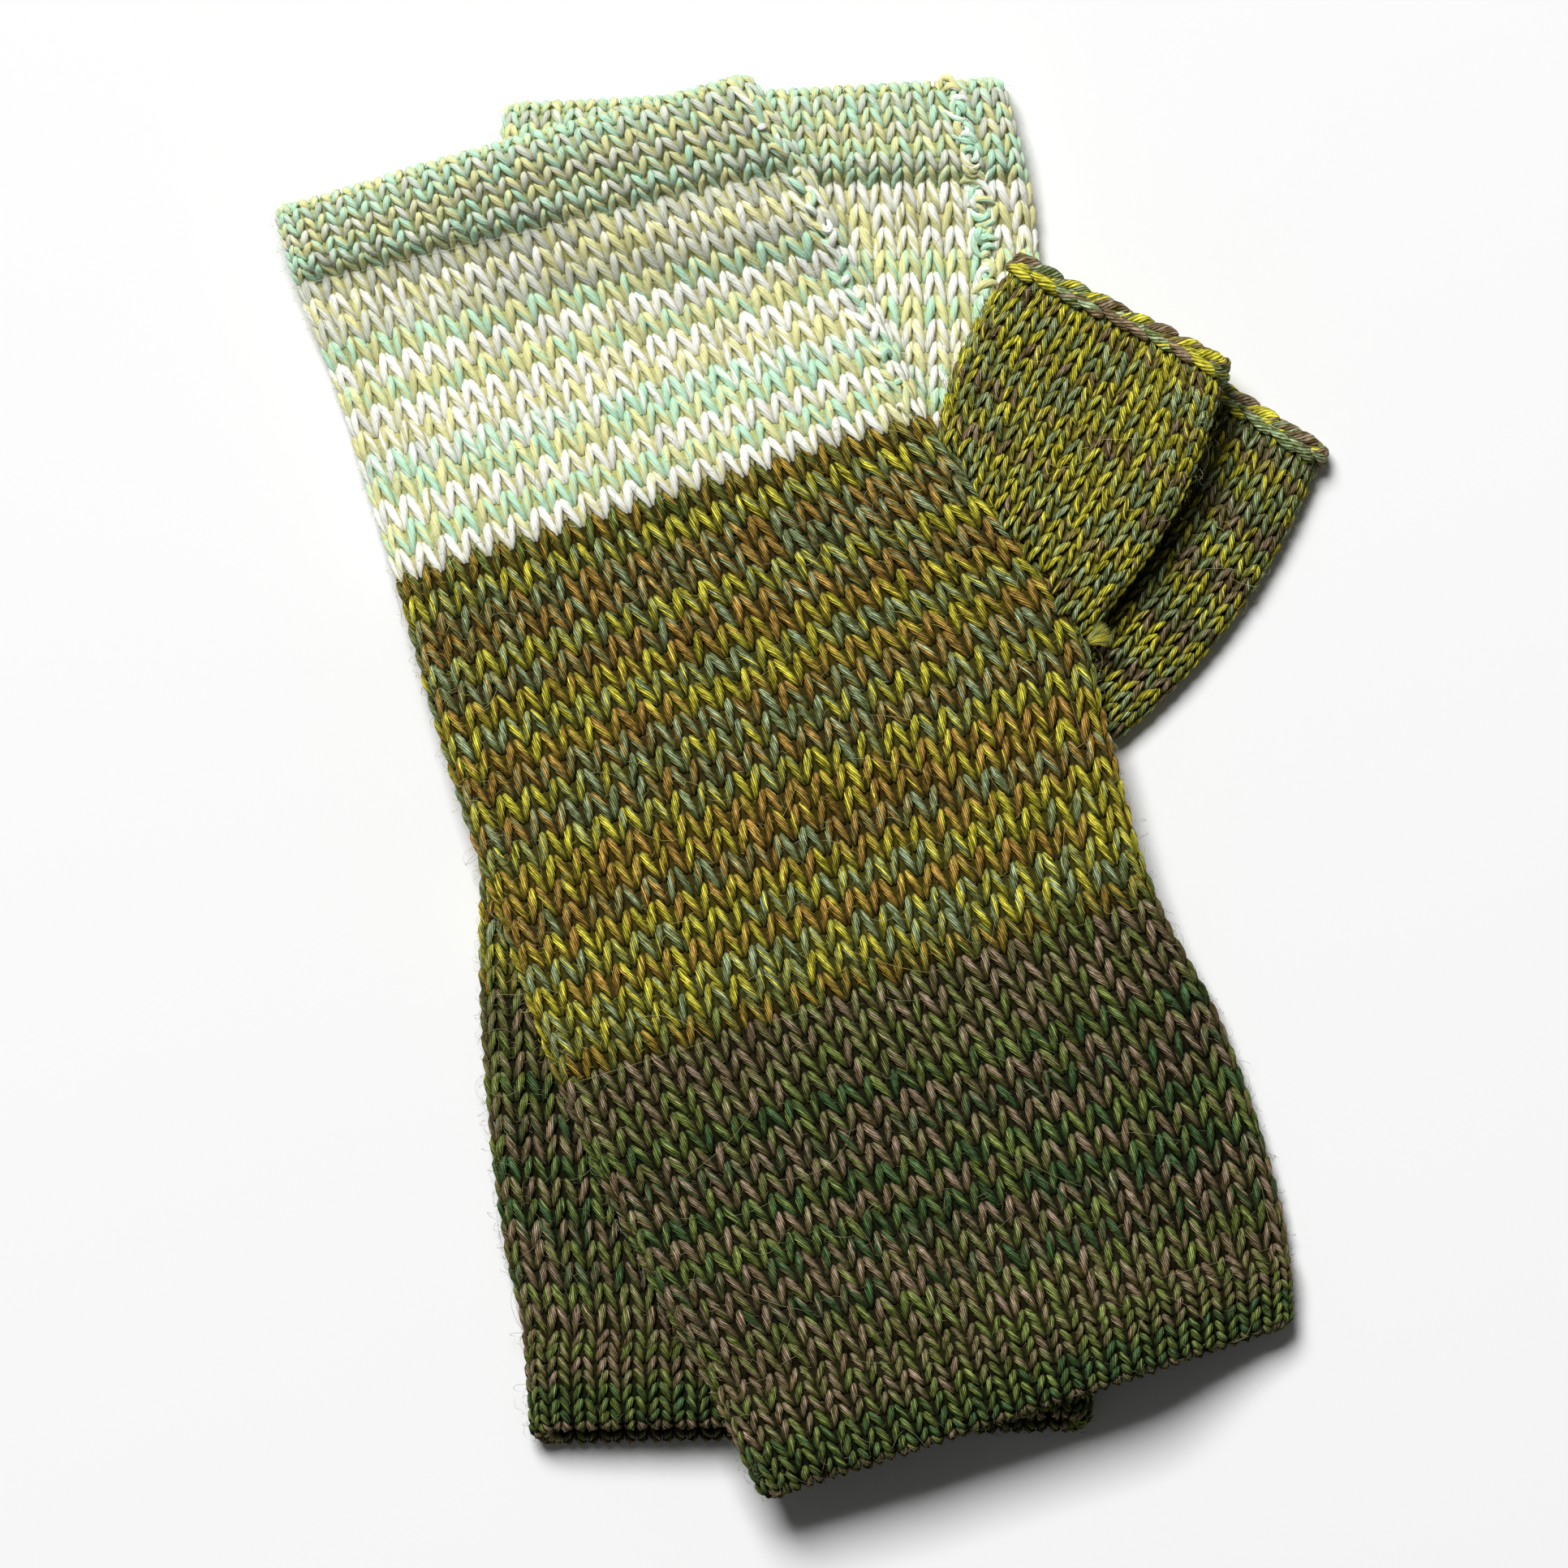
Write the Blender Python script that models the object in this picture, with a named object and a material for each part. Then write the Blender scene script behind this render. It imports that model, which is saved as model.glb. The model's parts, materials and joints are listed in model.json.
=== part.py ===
"""A pair of fingerless mittens in striped stocking stitch, laid flat and crossed.

Each mitten is a knitted tube with a turned welt at either end, three bands of yarn
between the welts and a thumb tube at its side. One mitten lies on the surface. The
other is draped over it and sinks to the surface beyond its edges.

The origin is on the surface, under the middle of the pair. X points right, Y to the
finger ends and Z up. Sizes are in millimetres and become metres as points are placed.
"""

import math
from collections import namedtuple

import bmesh
import bpy
import numpy as np

MM = 0.001

# The knitted fabric
WALL = 2.6
WELT_WALL = 4.4
HOLLOW = 0.8
BODY_HEIGHT = 2 * WALL + HOLLOW
WELT_HEIGHT = 2 * WELT_WALL + HOLLOW
SEAM_GAP = 0.3
LAY_GAP = 0.35

# The turned welts
WELT_RISE = 3.5
WELT_FOLD = 2.5
WELT_FOLD_SHARE = 0.72
LOWER_LAYER_REACH = 20.0

# The thumb and its opening
THUMB_TOP_OFFSET = 1.5
THUMB_ROOT_GAP = 0.55
OPENING_MARGIN = 4.0
CASTOFF_LENGTH = 3.0
CASTOFF_PROUD = 0.7
CASTOFF_WALL = 2.9
CASTOFF_SLIM = 0.5

# The cast-off edge's rounded profile: share of its length, and share of its full swell
CASTOFF_PROFILE = ((0.0, 0.3), (0.3, 1.0), (0.7, 1.0), (1.0, 0.3))

# The side seam and the yarn end
SEAM_HALF_WIDTH = 1.7
SEAM_HEIGHT = 0.9
SEAM_CLEAR = 0.45

# The seam's section: share of its half width, and share of its height
SEAM_PROFILE = ((-1.0, 0.0), (-0.5, 1.0), (0.5, 1.0), (1.0, 0.0), (0.0, 0.0))
TAIL_LENGTH = 5.0
TAIL_RADIUS = 1.0
TAIL_FLARE = 1.9
TAIL_LIFT = 4.2
TAIL_HEADING = math.radians(12.0)

# How the upper mitten drapes over the lower one
DRAPE_MARGIN = 3.5
DRAPE_SLOPE = 2.7
DRAPE_BLEND = 8.0

# Mesh resolution
FLAT_STEPS = 12
FOLD_STEPS = 4
THUMB_FLAT_STEPS = 7
BAND_STEP = 8.0
THUMB_STEPS = 5
TAIL_STEPS = 3
TAIL_SIDES = 6
FOLD_MARKS = (0.15, 0.5, 1.0)
RISE_MARKS = (0.5, 1.0)
SHARP_ANGLE = math.radians(50)

# The middle of the pair, as the tables below place it
MIDDLE = (0.1, -0.8)

Section = namedtuple("Section", "place x y width tilt")
Thumb = namedtuple("Thumb", "end_x end_y end_width end_tilt bulge_out bulge_in")
Mitten = namedtuple("Mitten", "name sections thumb seam_inset lower_layer")

# Sections across each mitten, from the finger edge to the wrist edge
OVER_SECTIONS = (
    Section("finger edge", -47.1, 105.3, 81.7, 15.7),
    Section("finger seam", -40.1, 90.9, 87.0, 12.6),
    Section("upper pale", -33.0, 75.1, 88.8, 13.6),
    Section("lower pale", -27.3, 60.0, 90.6, 15.0),
    Section("pale end", -22.2, 46.4, 92.1, 17.2),
    Section("thumb middle", -12.9, 27.3, 99.8, 17.4),
    Section("crotch", -3.7, 8.3, 106.2, 17.4),
    Section("palm", 1.4, -8.3, 104.8, 17.8),
    Section("olive end", 9.9, -34.5, 103.4, 17.3),
    Section("upper dark", 19.5, -54.1, 104.9, 16.0),
    Section("lower dark", 27.0, -72.0, 102.9, 14.6),
    Section("wrist seam", 33.0, -87.5, 98.2, 14.2),
    Section("wrist edge", 37.5, -102.5, 92.1, 18.4),
)
UNDER_SECTIONS = (
    Section("finger edge", -7.4, 113.8, 82.3, 3.1),
    Section("finger seam", -5.7, 97.5, 87.9, 1.0),
    Section("upper pale", -5.1, 82.7, 90.3, 0.8),
    Section("lower pale", -4.7, 65.3, 91.9, 0.8),
    Section("pale end", -4.5, 48.2, 93.3, 1.1),
    Section("thumb middle", -2.7, 27.7, 97.9, 1.2),
    Section("crotch", -0.6, 5.5, 103.7, 0.9),
    Section("palm", -0.5, -13.3, 104.0, 0.7),
    Section("olive end", -0.3, -34.3, 104.3, 0.4),
    Section("upper dark", 0.5, -58.0, 102.7, 0.0),
    Section("lower dark", 1.1, -77.0, 98.7, -0.2),
    Section("wrist seam", 1.7, -90.0, 94.4, 0.0),
    Section("wrist edge", 2.1, -104.2, 92.6, 1.5),
)

UNDER = Mitten("under", UNDER_SECTIONS, Thumb(70.3, 65.3, 38.3, -32.6, 4.4, 2.0), 9.0, 4.5)
OVER = Mitten("over", OVER_SECTIONS, Thumb(53.3, 77.7, 37.9, -27.0, 5.3, 2.3), 3.2, 1.5)

# Each band: its node, the sections it runs between, and its yarn
BANDS = (
    ("finger_welt", "finger edge", "finger seam", "pale"),
    ("pale_band", "finger seam", "pale end", "pale"),
    ("olive_band", "pale end", "olive end", "olive"),
    ("dark_band", "olive end", "wrist seam", "dark"),
    ("wrist_welt", "wrist seam", "wrist edge", "dark"),
)

YARNS = {
    "pale": ("pale_wool", (0.70, 0.74, 0.52, 1.0)),
    "olive": ("olive_wool", (0.24, 0.21, 0.05, 1.0)),
    "dark": ("dark_wool", (0.09, 0.10, 0.05, 1.0)),
    "thumb": ("thumb_wool", (0.20, 0.20, 0.07, 1.0)),
}
YARN_ROUGHNESS = 0.9


def smooth(share):
    """A rise from 0 to 1 with level ends."""
    share = min(max(share, 0.0), 1.0)
    return share * share * (3.0 - 2.0 * share)


def marks_along(start, end, step, extra=()):
    """Lengths from start to end at about a step apart, with some more between them."""
    count = max(1, round((end - start) / step))
    marks = {round(start + (end - start) * i / count, 4) for i in range(count + 1)}
    return sorted(marks | {round(mark, 4) for mark in extra if start < mark < end})


def lengths_of(sections):
    """The length along the middle line at each section."""
    steps = [math.dist(a[1:3], b[1:3]) for a, b in zip(sections, sections[1:])]
    return [0.0] + list(np.cumsum(steps))


def length_at(mitten, place):
    """The length along the middle line at a named section."""
    names = [section.place for section in mitten.sections]
    return lengths_of(mitten.sections)[names.index(place)]


def station(mitten, length):
    """Middle x, middle y, width and tilt at a length, on a smooth curve through the sections."""
    known = lengths_of(mitten.sections)
    values = np.array([section[1:] for section in mitten.sections])
    slopes = np.gradient(values, known, axis=0)
    length = min(max(length, 0.0), known[-1])
    i = min(int(np.searchsorted(known, length, side="right")) - 1, len(known) - 2)
    span = known[i + 1] - known[i]
    t = (length - known[i]) / span
    start = (1 + 2 * t) * (1 - t) ** 2 * values[i] + t * (1 - t) ** 2 * span * slopes[i]
    end = t * t * (3 - 2 * t) * values[i + 1] + t * t * (t - 1) * span * slopes[i + 1]
    return start + end


def height_at(mitten, length):
    """The flattened tube's height: one knit layer a side, two in the welts."""
    finger = length_at(mitten, "finger seam")
    wrist = length_at(mitten, "wrist seam")
    end = length_at(mitten, "wrist edge")
    into_welt = max(finger - length, length - wrist)
    height = BODY_HEIGHT + (WELT_HEIGHT - BODY_HEIGHT) * smooth(into_welt / WELT_RISE)
    from_edge = max(min(length, end - length), 0.0)
    if from_edge < WELT_FOLD:
        turn = math.sqrt(1 - (1 - from_edge / WELT_FOLD) ** 2)
        height *= WELT_FOLD_SHARE + (1 - WELT_FOLD_SHARE) * turn
    return height


def ring(width, height, flat_steps):
    """A flattened tube's outline: points (across, up), clockwise from the top left."""
    radius = height / 2
    half = width / 2 - radius
    spread = [half * (2 * i / flat_steps - 1) for i in range(flat_steps + 1)]
    turn = [math.pi * (0.5 - i / FOLD_STEPS) for i in range(1, FOLD_STEPS)]
    right = [(half + radius * math.cos(a), radius * math.sin(a)) for a in turn]
    top = [(x, radius) for x in spread]
    bottom = [(x, -radius) for x in reversed(spread)]
    left = [(-x, -y) for x, y in right]
    return top + right + bottom + left


def edge_distance(polygon, x, y):
    """Distance from a point to a closed outline, negative inside it."""
    nearest = math.inf
    inside = False
    for (ax, ay), (bx, by) in zip(polygon, polygon[1:] + polygon[:1]):
        dx, dy = bx - ax, by - ay
        t = ((x - ax) * dx + (y - ay) * dy) / max(dx * dx + dy * dy, 1e-9)
        t = min(max(t, 0.0), 1.0)
        nearest = min(nearest, math.hypot(x - ax - t * dx, y - ay - t * dy))
        if (ay > y) != (by > y) and x < ax + (y - ay) * dx / dy:
            inside = not inside
    return -nearest if inside else nearest


def side_point(mitten, length, across):
    """The point at a distance across from the middle line, on the surface's plan."""
    x, y, _, tilt = station(mitten, length)
    angle = math.radians(tilt)
    return x + across * math.cos(angle), y + across * math.sin(angle)


def outline(mitten, start, end):
    """A stretch of the body seen from above."""
    marks = marks_along(start, end, BAND_STEP)
    halves = [station(mitten, mark)[2] / 2 for mark in marks]
    right = [side_point(mitten, mark, half) for mark, half in zip(marks, halves)]
    left = [side_point(mitten, mark, -half) for mark, half in zip(marks, halves)]
    return right + left[::-1]


def thumb_limits(mitten):
    """The lengths at which the thumb opening begins and ends."""
    return length_at(mitten, "pale end") + THUMB_TOP_OFFSET, length_at(mitten, "crotch")


def thumb_point(mitten, along, share, up, back=0.0):
    """A point on the thumb in plan: along it from root to end, and across it from 0 to 1.

    The root follows the body's rounded side at that height. back draws the end in.
    """
    top, crotch = thumb_limits(mitten)
    length = top + (crotch - top) * share
    radius = BODY_HEIGHT / 2
    reach = math.sqrt(max((radius + THUMB_ROOT_GAP) ** 2 - up * up, 0.0))
    half = station(mitten, length)[2] / 2
    root = side_point(mitten, length, half - radius + reach)
    thumb = mitten.thumb
    angle = math.radians(thumb.end_tilt)
    offset = thumb.end_width * (share - 0.5)
    end_x = thumb.end_x + offset * math.cos(angle) + back * math.sin(angle)
    end_y = thumb.end_y + offset * math.sin(angle) - back * math.cos(angle)
    side = 2 * share - 1
    bulge = thumb.bulge_out * max(side, 0.0) - thumb.bulge_in * max(-side, 0.0)
    bulge *= 4 * along * (1 - along)
    x = root[0] + (end_x - root[0]) * along + bulge * math.cos(angle)
    y = root[1] + (end_y - root[1]) * along + bulge * math.sin(angle)
    return x, y


def thumb_outline(mitten):
    """The thumb seen from above."""
    steps = [i / THUMB_STEPS for i in range(THUMB_STEPS + 1)]
    right = [thumb_point(mitten, t, 1.0, 0.0) for t in steps]
    left = [thumb_point(mitten, t, 0.0, 0.0) for t in steps]
    return right + left[::-1]


def castoff_outline(mitten):
    """The cast-off edge seen from above."""
    corners = ((1.0, 0.0), (1.0, CASTOFF_LENGTH), (0.0, CASTOFF_LENGTH), (0.0, 0.0))
    return [thumb_point(mitten, 1.0, share, 0.0, back) for share, back in corners]


def seam_outline(mitten):
    """The side seam seen from above."""
    marks = marks_along(0.0, length_at(mitten, "pale end"), BAND_STEP)
    middles = [(mark, station(mitten, mark)[2] / 2 - mitten.seam_inset) for mark in marks]
    right = [side_point(mitten, mark, across + SEAM_HALF_WIDTH) for mark, across in middles]
    left = [side_point(mitten, mark, across - SEAM_HALF_WIDTH) for mark, across in middles]
    return right + left[::-1]


def heaps():
    """What the upper mitten lies on: outlines with their heights."""
    finger = length_at(UNDER, "finger seam")
    wrist = length_at(UNDER, "wrist seam")
    end = length_at(UNDER, "wrist edge")
    return (
        (outline(UNDER, 0.0, end), BODY_HEIGHT),
        (outline(UNDER, 0.0, finger), WELT_HEIGHT),
        (outline(UNDER, wrist, end + UNDER.lower_layer), WELT_HEIGHT),
        (thumb_outline(UNDER), BODY_HEIGHT),
        (castoff_outline(UNDER), BODY_HEIGHT + 2 * CASTOFF_PROUD),
        (seam_outline(UNDER), BODY_HEIGHT + SEAM_HEIGHT + SEAM_CLEAR),
    )


HEAPS = heaps()


def rest_height(mitten, x, y):
    """The height of what lies under a mitten at a point: the surface, or the lower mitten."""
    if mitten is UNDER:
        return 0.0
    total = 0.0
    for polygon, height in HEAPS:
        beyond = edge_distance(polygon, x, y) - DRAPE_MARGIN
        lift = height * (1 - smooth(beyond / (DRAPE_SLOPE * height)))
        total += lift**DRAPE_BLEND
    lift = total ** (1 / DRAPE_BLEND)
    return lift + LAY_GAP * smooth(lift)


def placed(mitten, x, y, middle, up):
    """A finished point in metres, with up counted from the tube's middle height."""
    z = rest_height(mitten, x, y) + middle + up
    return ((x - MIDDLE[0]) * MM, (y - MIDDLE[1]) * MM, z * MM)


def body_row(mitten, length):
    """Outer and inner rings of the body at a length."""
    x, y, width, tilt = station(mitten, length)
    height = height_at(mitten, length)
    angle = math.radians(tilt)
    end = length_at(mitten, "wrist edge")
    slide = mitten.lower_layer * smooth((length - end + LOWER_LAYER_REACH) / LOWER_LAYER_REACH)
    wall = (height - HOLLOW) / 2
    rings = []
    for inset in (0.0, wall):
        points = []
        for across, up in ring(width - 2 * inset, height - 2 * inset, FLAT_STEPS):
            down = slide * (0.5 - up / height)
            px = x + across * math.cos(angle) + down * math.sin(angle)
            py = y + across * math.sin(angle) - down * math.cos(angle)
            points.append(placed(mitten, px, py, height / 2, up))
        rings.append(points)
    return rings


def thumb_row(mitten, along, back, proud, wall):
    """Outer and inner rings of the thumb, or of its cast-off edge."""
    top, crotch = thumb_limits(mitten)
    root_width = crotch - top
    width = root_width + (mitten.thumb.end_width - root_width) * along + 2 * proud
    height = BODY_HEIGHT + 2 * proud
    rings = []
    for inset in (0.0, wall):
        points = []
        for across, up in ring(width - 2 * inset, height - 2 * inset, THUMB_FLAT_STEPS):
            share = 0.5 + across / (width - 2 * proud)
            px, py = thumb_point(mitten, along, share, up, back)
            points.append(placed(mitten, px, py, BODY_HEIGHT / 2 + proud, up))
        rings.append(points)
    return rings


def tube(name, rows, yarn, opening=None):
    """A walled tube through rings, with a slit where opening(row, column) is true."""
    around = len(rows[0][0])
    cells = {(i, j) for i in range(len(rows) - 1) for j in range(around)}
    if opening:
        cells = {cell for cell in cells if not opening(*cell)}
    mesh = bmesh.new()
    made = {}

    def vertex(layer, i, j):
        key = (layer, i, j % around)
        if key not in made:
            made[key] = mesh.verts.new(rows[i][layer][j % around])
        return made[key]

    for i, j in sorted(cells):
        corners = ((i, j), (i, j + 1), (i + 1, j + 1), (i + 1, j))
        mesh.faces.new([vertex(0, *corner) for corner in corners])
        mesh.faces.new([vertex(1, *corner) for corner in reversed(corners)])
        beside = ((i - 1, j), (i, (j + 1) % around), (i + 1, j), (i, (j - 1) % around))
        for k, other in enumerate(beside):
            if other not in cells:
                a, b = corners[k], corners[(k + 1) % 4]
                mesh.faces.new((vertex(0, *b), vertex(0, *a), vertex(1, *a), vertex(1, *b)))
    return finish(name, mesh, yarn)


def solid(name, rows, yarn):
    """A closed bar through rings of points."""
    mesh = bmesh.new()
    made = [[mesh.verts.new(point) for point in row] for row in rows]
    around = len(rows[0])
    for low, high in zip(made, made[1:]):
        for j in range(around):
            k = (j + 1) % around
            mesh.faces.new((low[j], low[k], high[k], high[j]))
    mesh.faces.new(made[0][::-1])
    mesh.faces.new(made[-1])
    return finish(name, mesh, yarn)


def finish(name, mesh, yarn):
    """Turn the faces outwards, shade smooth and place the object in the scene."""
    bmesh.ops.recalc_face_normals(mesh, faces=mesh.faces)
    data = bpy.data.meshes.new(name)
    mesh.to_mesh(data)
    mesh.free()
    data.shade_smooth()
    data.set_sharp_from_angle(angle=SHARP_ANGLE)
    data.materials.append(yarn_material(yarn))
    piece = bpy.data.objects.new(name, data)
    bpy.context.scene.collection.objects.link(piece)
    return piece


def yarn_material(yarn):
    """Matt wool in one yarn's average colour."""
    name, colour = YARNS[yarn]
    material = bpy.data.materials.get(name)
    if material is None:
        material = bpy.data.materials.new(name)
        material.use_nodes = True
        shader = material.node_tree.nodes["Principled BSDF"]
        shader.inputs["Base Color"].default_value = colour
        shader.inputs["Roughness"].default_value = YARN_ROUGHNESS
        shader.inputs["Metallic"].default_value = 0.0
    return material


def band(mitten, node, start_place, end_place, yarn):
    """One yarn's stretch of the body, or a welt."""
    start = length_at(mitten, start_place) + (SEAM_GAP / 2 if start_place != "finger edge" else 0)
    end = length_at(mitten, end_place) - (SEAM_GAP / 2 if end_place != "wrist edge" else 0)
    extra = ()
    if "welt" in node:
        fold = [WELT_FOLD * share for share in FOLD_MARKS]
        rise = [WELT_RISE * share for share in RISE_MARKS]
        edge, seam, way = (start, end, 1) if start == 0 else (end, start, -1)
        extra = [edge + way * mark for mark in fold] + [seam - way * mark for mark in rise]
    opening = None
    marks = marks_along(start, end, BAND_STEP, extra)
    if node == "olive_band":
        top, crotch = thumb_limits(mitten)
        first = FLAT_STEPS + FOLD_STEPS // 2 - 1
        middle_cells = (first, first + 1)

        def opening(i, j):
            inside = marks[i] > top + OPENING_MARGIN and marks[i + 1] < crotch - OPENING_MARGIN
            return inside and j in middle_cells

    rows = [body_row(mitten, mark) for mark in marks]
    return tube(f"{mitten.name}_{node}", rows, yarn, opening)


def thumb_tube(mitten):
    """The thumb from the body's side to its cast-off edge."""
    rows = []
    for i in range(THUMB_STEPS + 1):
        rows.append(thumb_row(mitten, i / THUMB_STEPS, CASTOFF_LENGTH + SEAM_GAP, 0.0, WALL))
    return tube(f"{mitten.name}_thumb", rows, "thumb")


def castoff_edge(mitten):
    """The thick chain edge round the thumb's end."""
    rows = []
    for share, swell in CASTOFF_PROFILE:
        back = CASTOFF_LENGTH * (1 - share)
        wall = CASTOFF_WALL - CASTOFF_SLIM * (1 - swell)
        rows.append(thumb_row(mitten, 1.0, back, CASTOFF_PROUD * swell, wall))
    return tube(f"{mitten.name}_thumb_castoff", rows, "thumb")


def top_surface(mitten, length, across, clear):
    """A point on the top layer, moved out by a distance."""
    width = station(mitten, length)[2]
    height = height_at(mitten, length)
    radius = height / 2
    past = max(0.0, abs(across) - (width / 2 - radius))
    up = math.sqrt(max(radius * radius - past * past, 0.0)) + clear
    x, y = side_point(mitten, length, across)
    return placed(mitten, x, y, radius, up)


def side_seam(mitten):
    """The raised join on the top layer, from the finger edge to the thumb."""
    end = length_at(mitten, "pale end")
    finger = length_at(mitten, "finger seam")
    extra = [finger + SEAM_GAP / 2] + [finger - WELT_RISE * share for share in RISE_MARKS]
    marks = marks_along(WELT_FOLD, end - SEAM_GAP, BAND_STEP / 2, extra)
    rows = []
    for mark in marks:
        middle = station(mitten, mark)[2] / 2 - mitten.seam_inset
        row = []
        for side, rise in SEAM_PROFILE:
            clear = SEAM_CLEAR + SEAM_HEIGHT * rise
            row.append(top_surface(mitten, mark, middle + side * SEAM_HALF_WIDTH, clear))
        rows.append(row)
    return solid(f"{mitten.name}_side_seam", rows, "pale")


def yarn_tail(mitten):
    """The cut yarn end that stands out of the thumb's crotch."""
    _, crotch = thumb_limits(mitten)
    half = station(mitten, crotch)[2] / 2
    start_x, start_y = side_point(mitten, crotch + TAIL_RADIUS, half + THUMB_ROOT_GAP)
    rows = []
    for i in range(TAIL_STEPS + 1):
        share = i / TAIL_STEPS
        radius = TAIL_RADIUS + (TAIL_FLARE - TAIL_RADIUS) * share
        x = start_x + TAIL_LENGTH * share * math.cos(TAIL_HEADING)
        y = start_y + TAIL_LENGTH * share * math.sin(TAIL_HEADING)
        base = rest_height(mitten, x, y) + TAIL_LIFT
        row = []
        for k in range(TAIL_SIDES):
            turn = 2 * math.pi * k / TAIL_SIDES
            side = radius * math.cos(turn)
            px = x - side * math.sin(TAIL_HEADING) - MIDDLE[0]
            py = y + side * math.cos(TAIL_HEADING) - MIDDLE[1]
            row.append((px * MM, py * MM, (base + radius * math.sin(turn)) * MM))
        rows.append(row)
    return solid(f"{mitten.name}_yarn_tail", rows, "thumb")


def mitten_pieces(mitten):
    """Every piece of one mitten."""
    for node, start_place, end_place, yarn in BANDS:
        band(mitten, node, start_place, end_place, yarn)
    thumb_tube(mitten)
    castoff_edge(mitten)
    side_seam(mitten)


def build():
    """The pair: the mitten on the surface, and the one laid over it."""
    for piece in list(bpy.data.objects):
        bpy.data.objects.remove(piece)
    mitten_pieces(UNDER)
    mitten_pieces(OVER)
    yarn_tail(OVER)


build()
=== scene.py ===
"""A pair of fingerless mittens in striped wool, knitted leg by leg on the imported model's form.

Lengths are in millimetres until a mesh is made. Each mitten is a flattened tube. A place on its
cloth is given by turn, the share of the way round from the left fold over the top, by run, the
millimetres along the cloth from the finger edge, and by out, the millimetres outwards.
"""

import json
import logging
import math
from dataclasses import dataclass
from enum import Enum, IntEnum
from typing import Callable, Optional, Protocol, Union

import bpy
import numpy as np
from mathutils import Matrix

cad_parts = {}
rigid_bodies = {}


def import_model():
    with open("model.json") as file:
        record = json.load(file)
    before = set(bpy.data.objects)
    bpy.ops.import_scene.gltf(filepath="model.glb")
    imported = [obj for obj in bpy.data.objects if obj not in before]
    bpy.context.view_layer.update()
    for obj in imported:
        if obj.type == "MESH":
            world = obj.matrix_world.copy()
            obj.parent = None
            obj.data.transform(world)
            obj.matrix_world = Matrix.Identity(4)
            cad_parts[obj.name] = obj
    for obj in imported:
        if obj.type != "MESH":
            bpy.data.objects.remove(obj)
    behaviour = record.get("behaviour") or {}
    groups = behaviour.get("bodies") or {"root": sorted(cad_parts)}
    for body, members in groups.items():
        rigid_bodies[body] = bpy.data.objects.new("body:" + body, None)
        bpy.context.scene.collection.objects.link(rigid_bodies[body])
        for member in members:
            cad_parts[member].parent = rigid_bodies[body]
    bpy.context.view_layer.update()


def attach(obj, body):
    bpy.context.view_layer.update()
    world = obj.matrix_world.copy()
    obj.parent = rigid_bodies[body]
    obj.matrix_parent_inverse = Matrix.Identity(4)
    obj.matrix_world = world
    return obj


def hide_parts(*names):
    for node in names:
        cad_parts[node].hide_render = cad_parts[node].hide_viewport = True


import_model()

LOG = logging.getLogger("mittens")
MM = 0.001
BODY = "root"

# The middle of the pair, as the tables below place it
MIDDLE = (0.1, -0.8)

# Sizes of the two mittens' cloth
BODY_HEIGHT = 6.0
WELT_HEIGHT = 9.6
WELT_RISE = 3.5
HEM_RADIUS = 2.1
LAY_GAP = 0.35
LOWER_LAYER_REACH = 20.0
THUMB_TOP_OFFSET = 1.5
THUMB_ROOT_GAP = 0.55
THUMB_EDGE_RADIUS = 1.3
CASTOFF_LENGTH = 3.0
CASTOFF_UNDERLAP = 1.8
CASTOFF_PROUD = 0.7
SEAM_HALF_WIDTH = 1.7
SEAM_RISE = 1.35

# How the upper mitten drapes over the lower one
DRAPE_MARGIN = 3.5
DRAPE_SLOPE = 2.7
DRAPE_BLEND = 8.0
DRAPE_GRID = 0.75
DRAPE_CORNER = (-110.0, -135.0)

# Steps of the outlines that it drapes over, and the share of a thumb where its edge begins
OUTLINE_STEP = 4
CASTOFF_FROM = 0.9

# The top layer's creases fade in over a fifth of a tube's height, about its middle
CREASE_FADE = 5

# Stitches round each tube
BODY_WALES = 48
THUMB_WALES = 28

# Knitting beyond a hem's turn, and how far it can be seen into the opening
HEM_OVERLAP = 4.0
HEM_SHOWN = 3.5

# A thumb's usual length, and the number of places across it where its length is measured
THUMB_LENGTH = 36.0
THUMB_STEPS = 21

Number = Union[float, np.ndarray]


class Seed(IntEnum):
    """Steps between the seeds of the parts and of what each draws, and the tail's own seed."""

    MITTEN = 1000
    BAND = 10
    THUMB = 500
    CASTOFF = 600
    SEAM = 700
    TAIL = 3000
    STRANDS = 1
    PLAIN_STRANDS = 2
    STITCHES = 5
    BLOOM = 7


def smooth(share: Number) -> np.ndarray:
    """Rise from 0 to 1 with level ends.

    Args:
        share: How far along the rise.

    Returns:
        The height of the rise there.
    """
    share = np.clip(share, 0.0, 1.0)
    return share * share * (3.0 - 2.0 * share)


def unit(vectors: np.ndarray) -> np.ndarray:
    """Scale vectors to a length of 1.

    Args:
        vectors: An array whose last axis holds the vectors.

    Returns:
        The same directions, each 1 long.
    """
    size = np.linalg.norm(vectors, axis=-1, keepdims=True)
    return vectors / np.maximum(size, 1e-12)


def linear(code: str) -> np.ndarray:
    """Turn an sRGB hex colour into linear light.

    Args:
        code: Six hex digits after a hash sign.

    Returns:
        Red, green and blue in linear light.
    """
    channels = np.array([int(code[i : i + 2], 16) / 255 for i in (1, 3, 5)])
    return np.where(channels <= 0.04045, channels / 12.92, ((channels + 0.055) / 1.055) ** 2.4)


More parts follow.
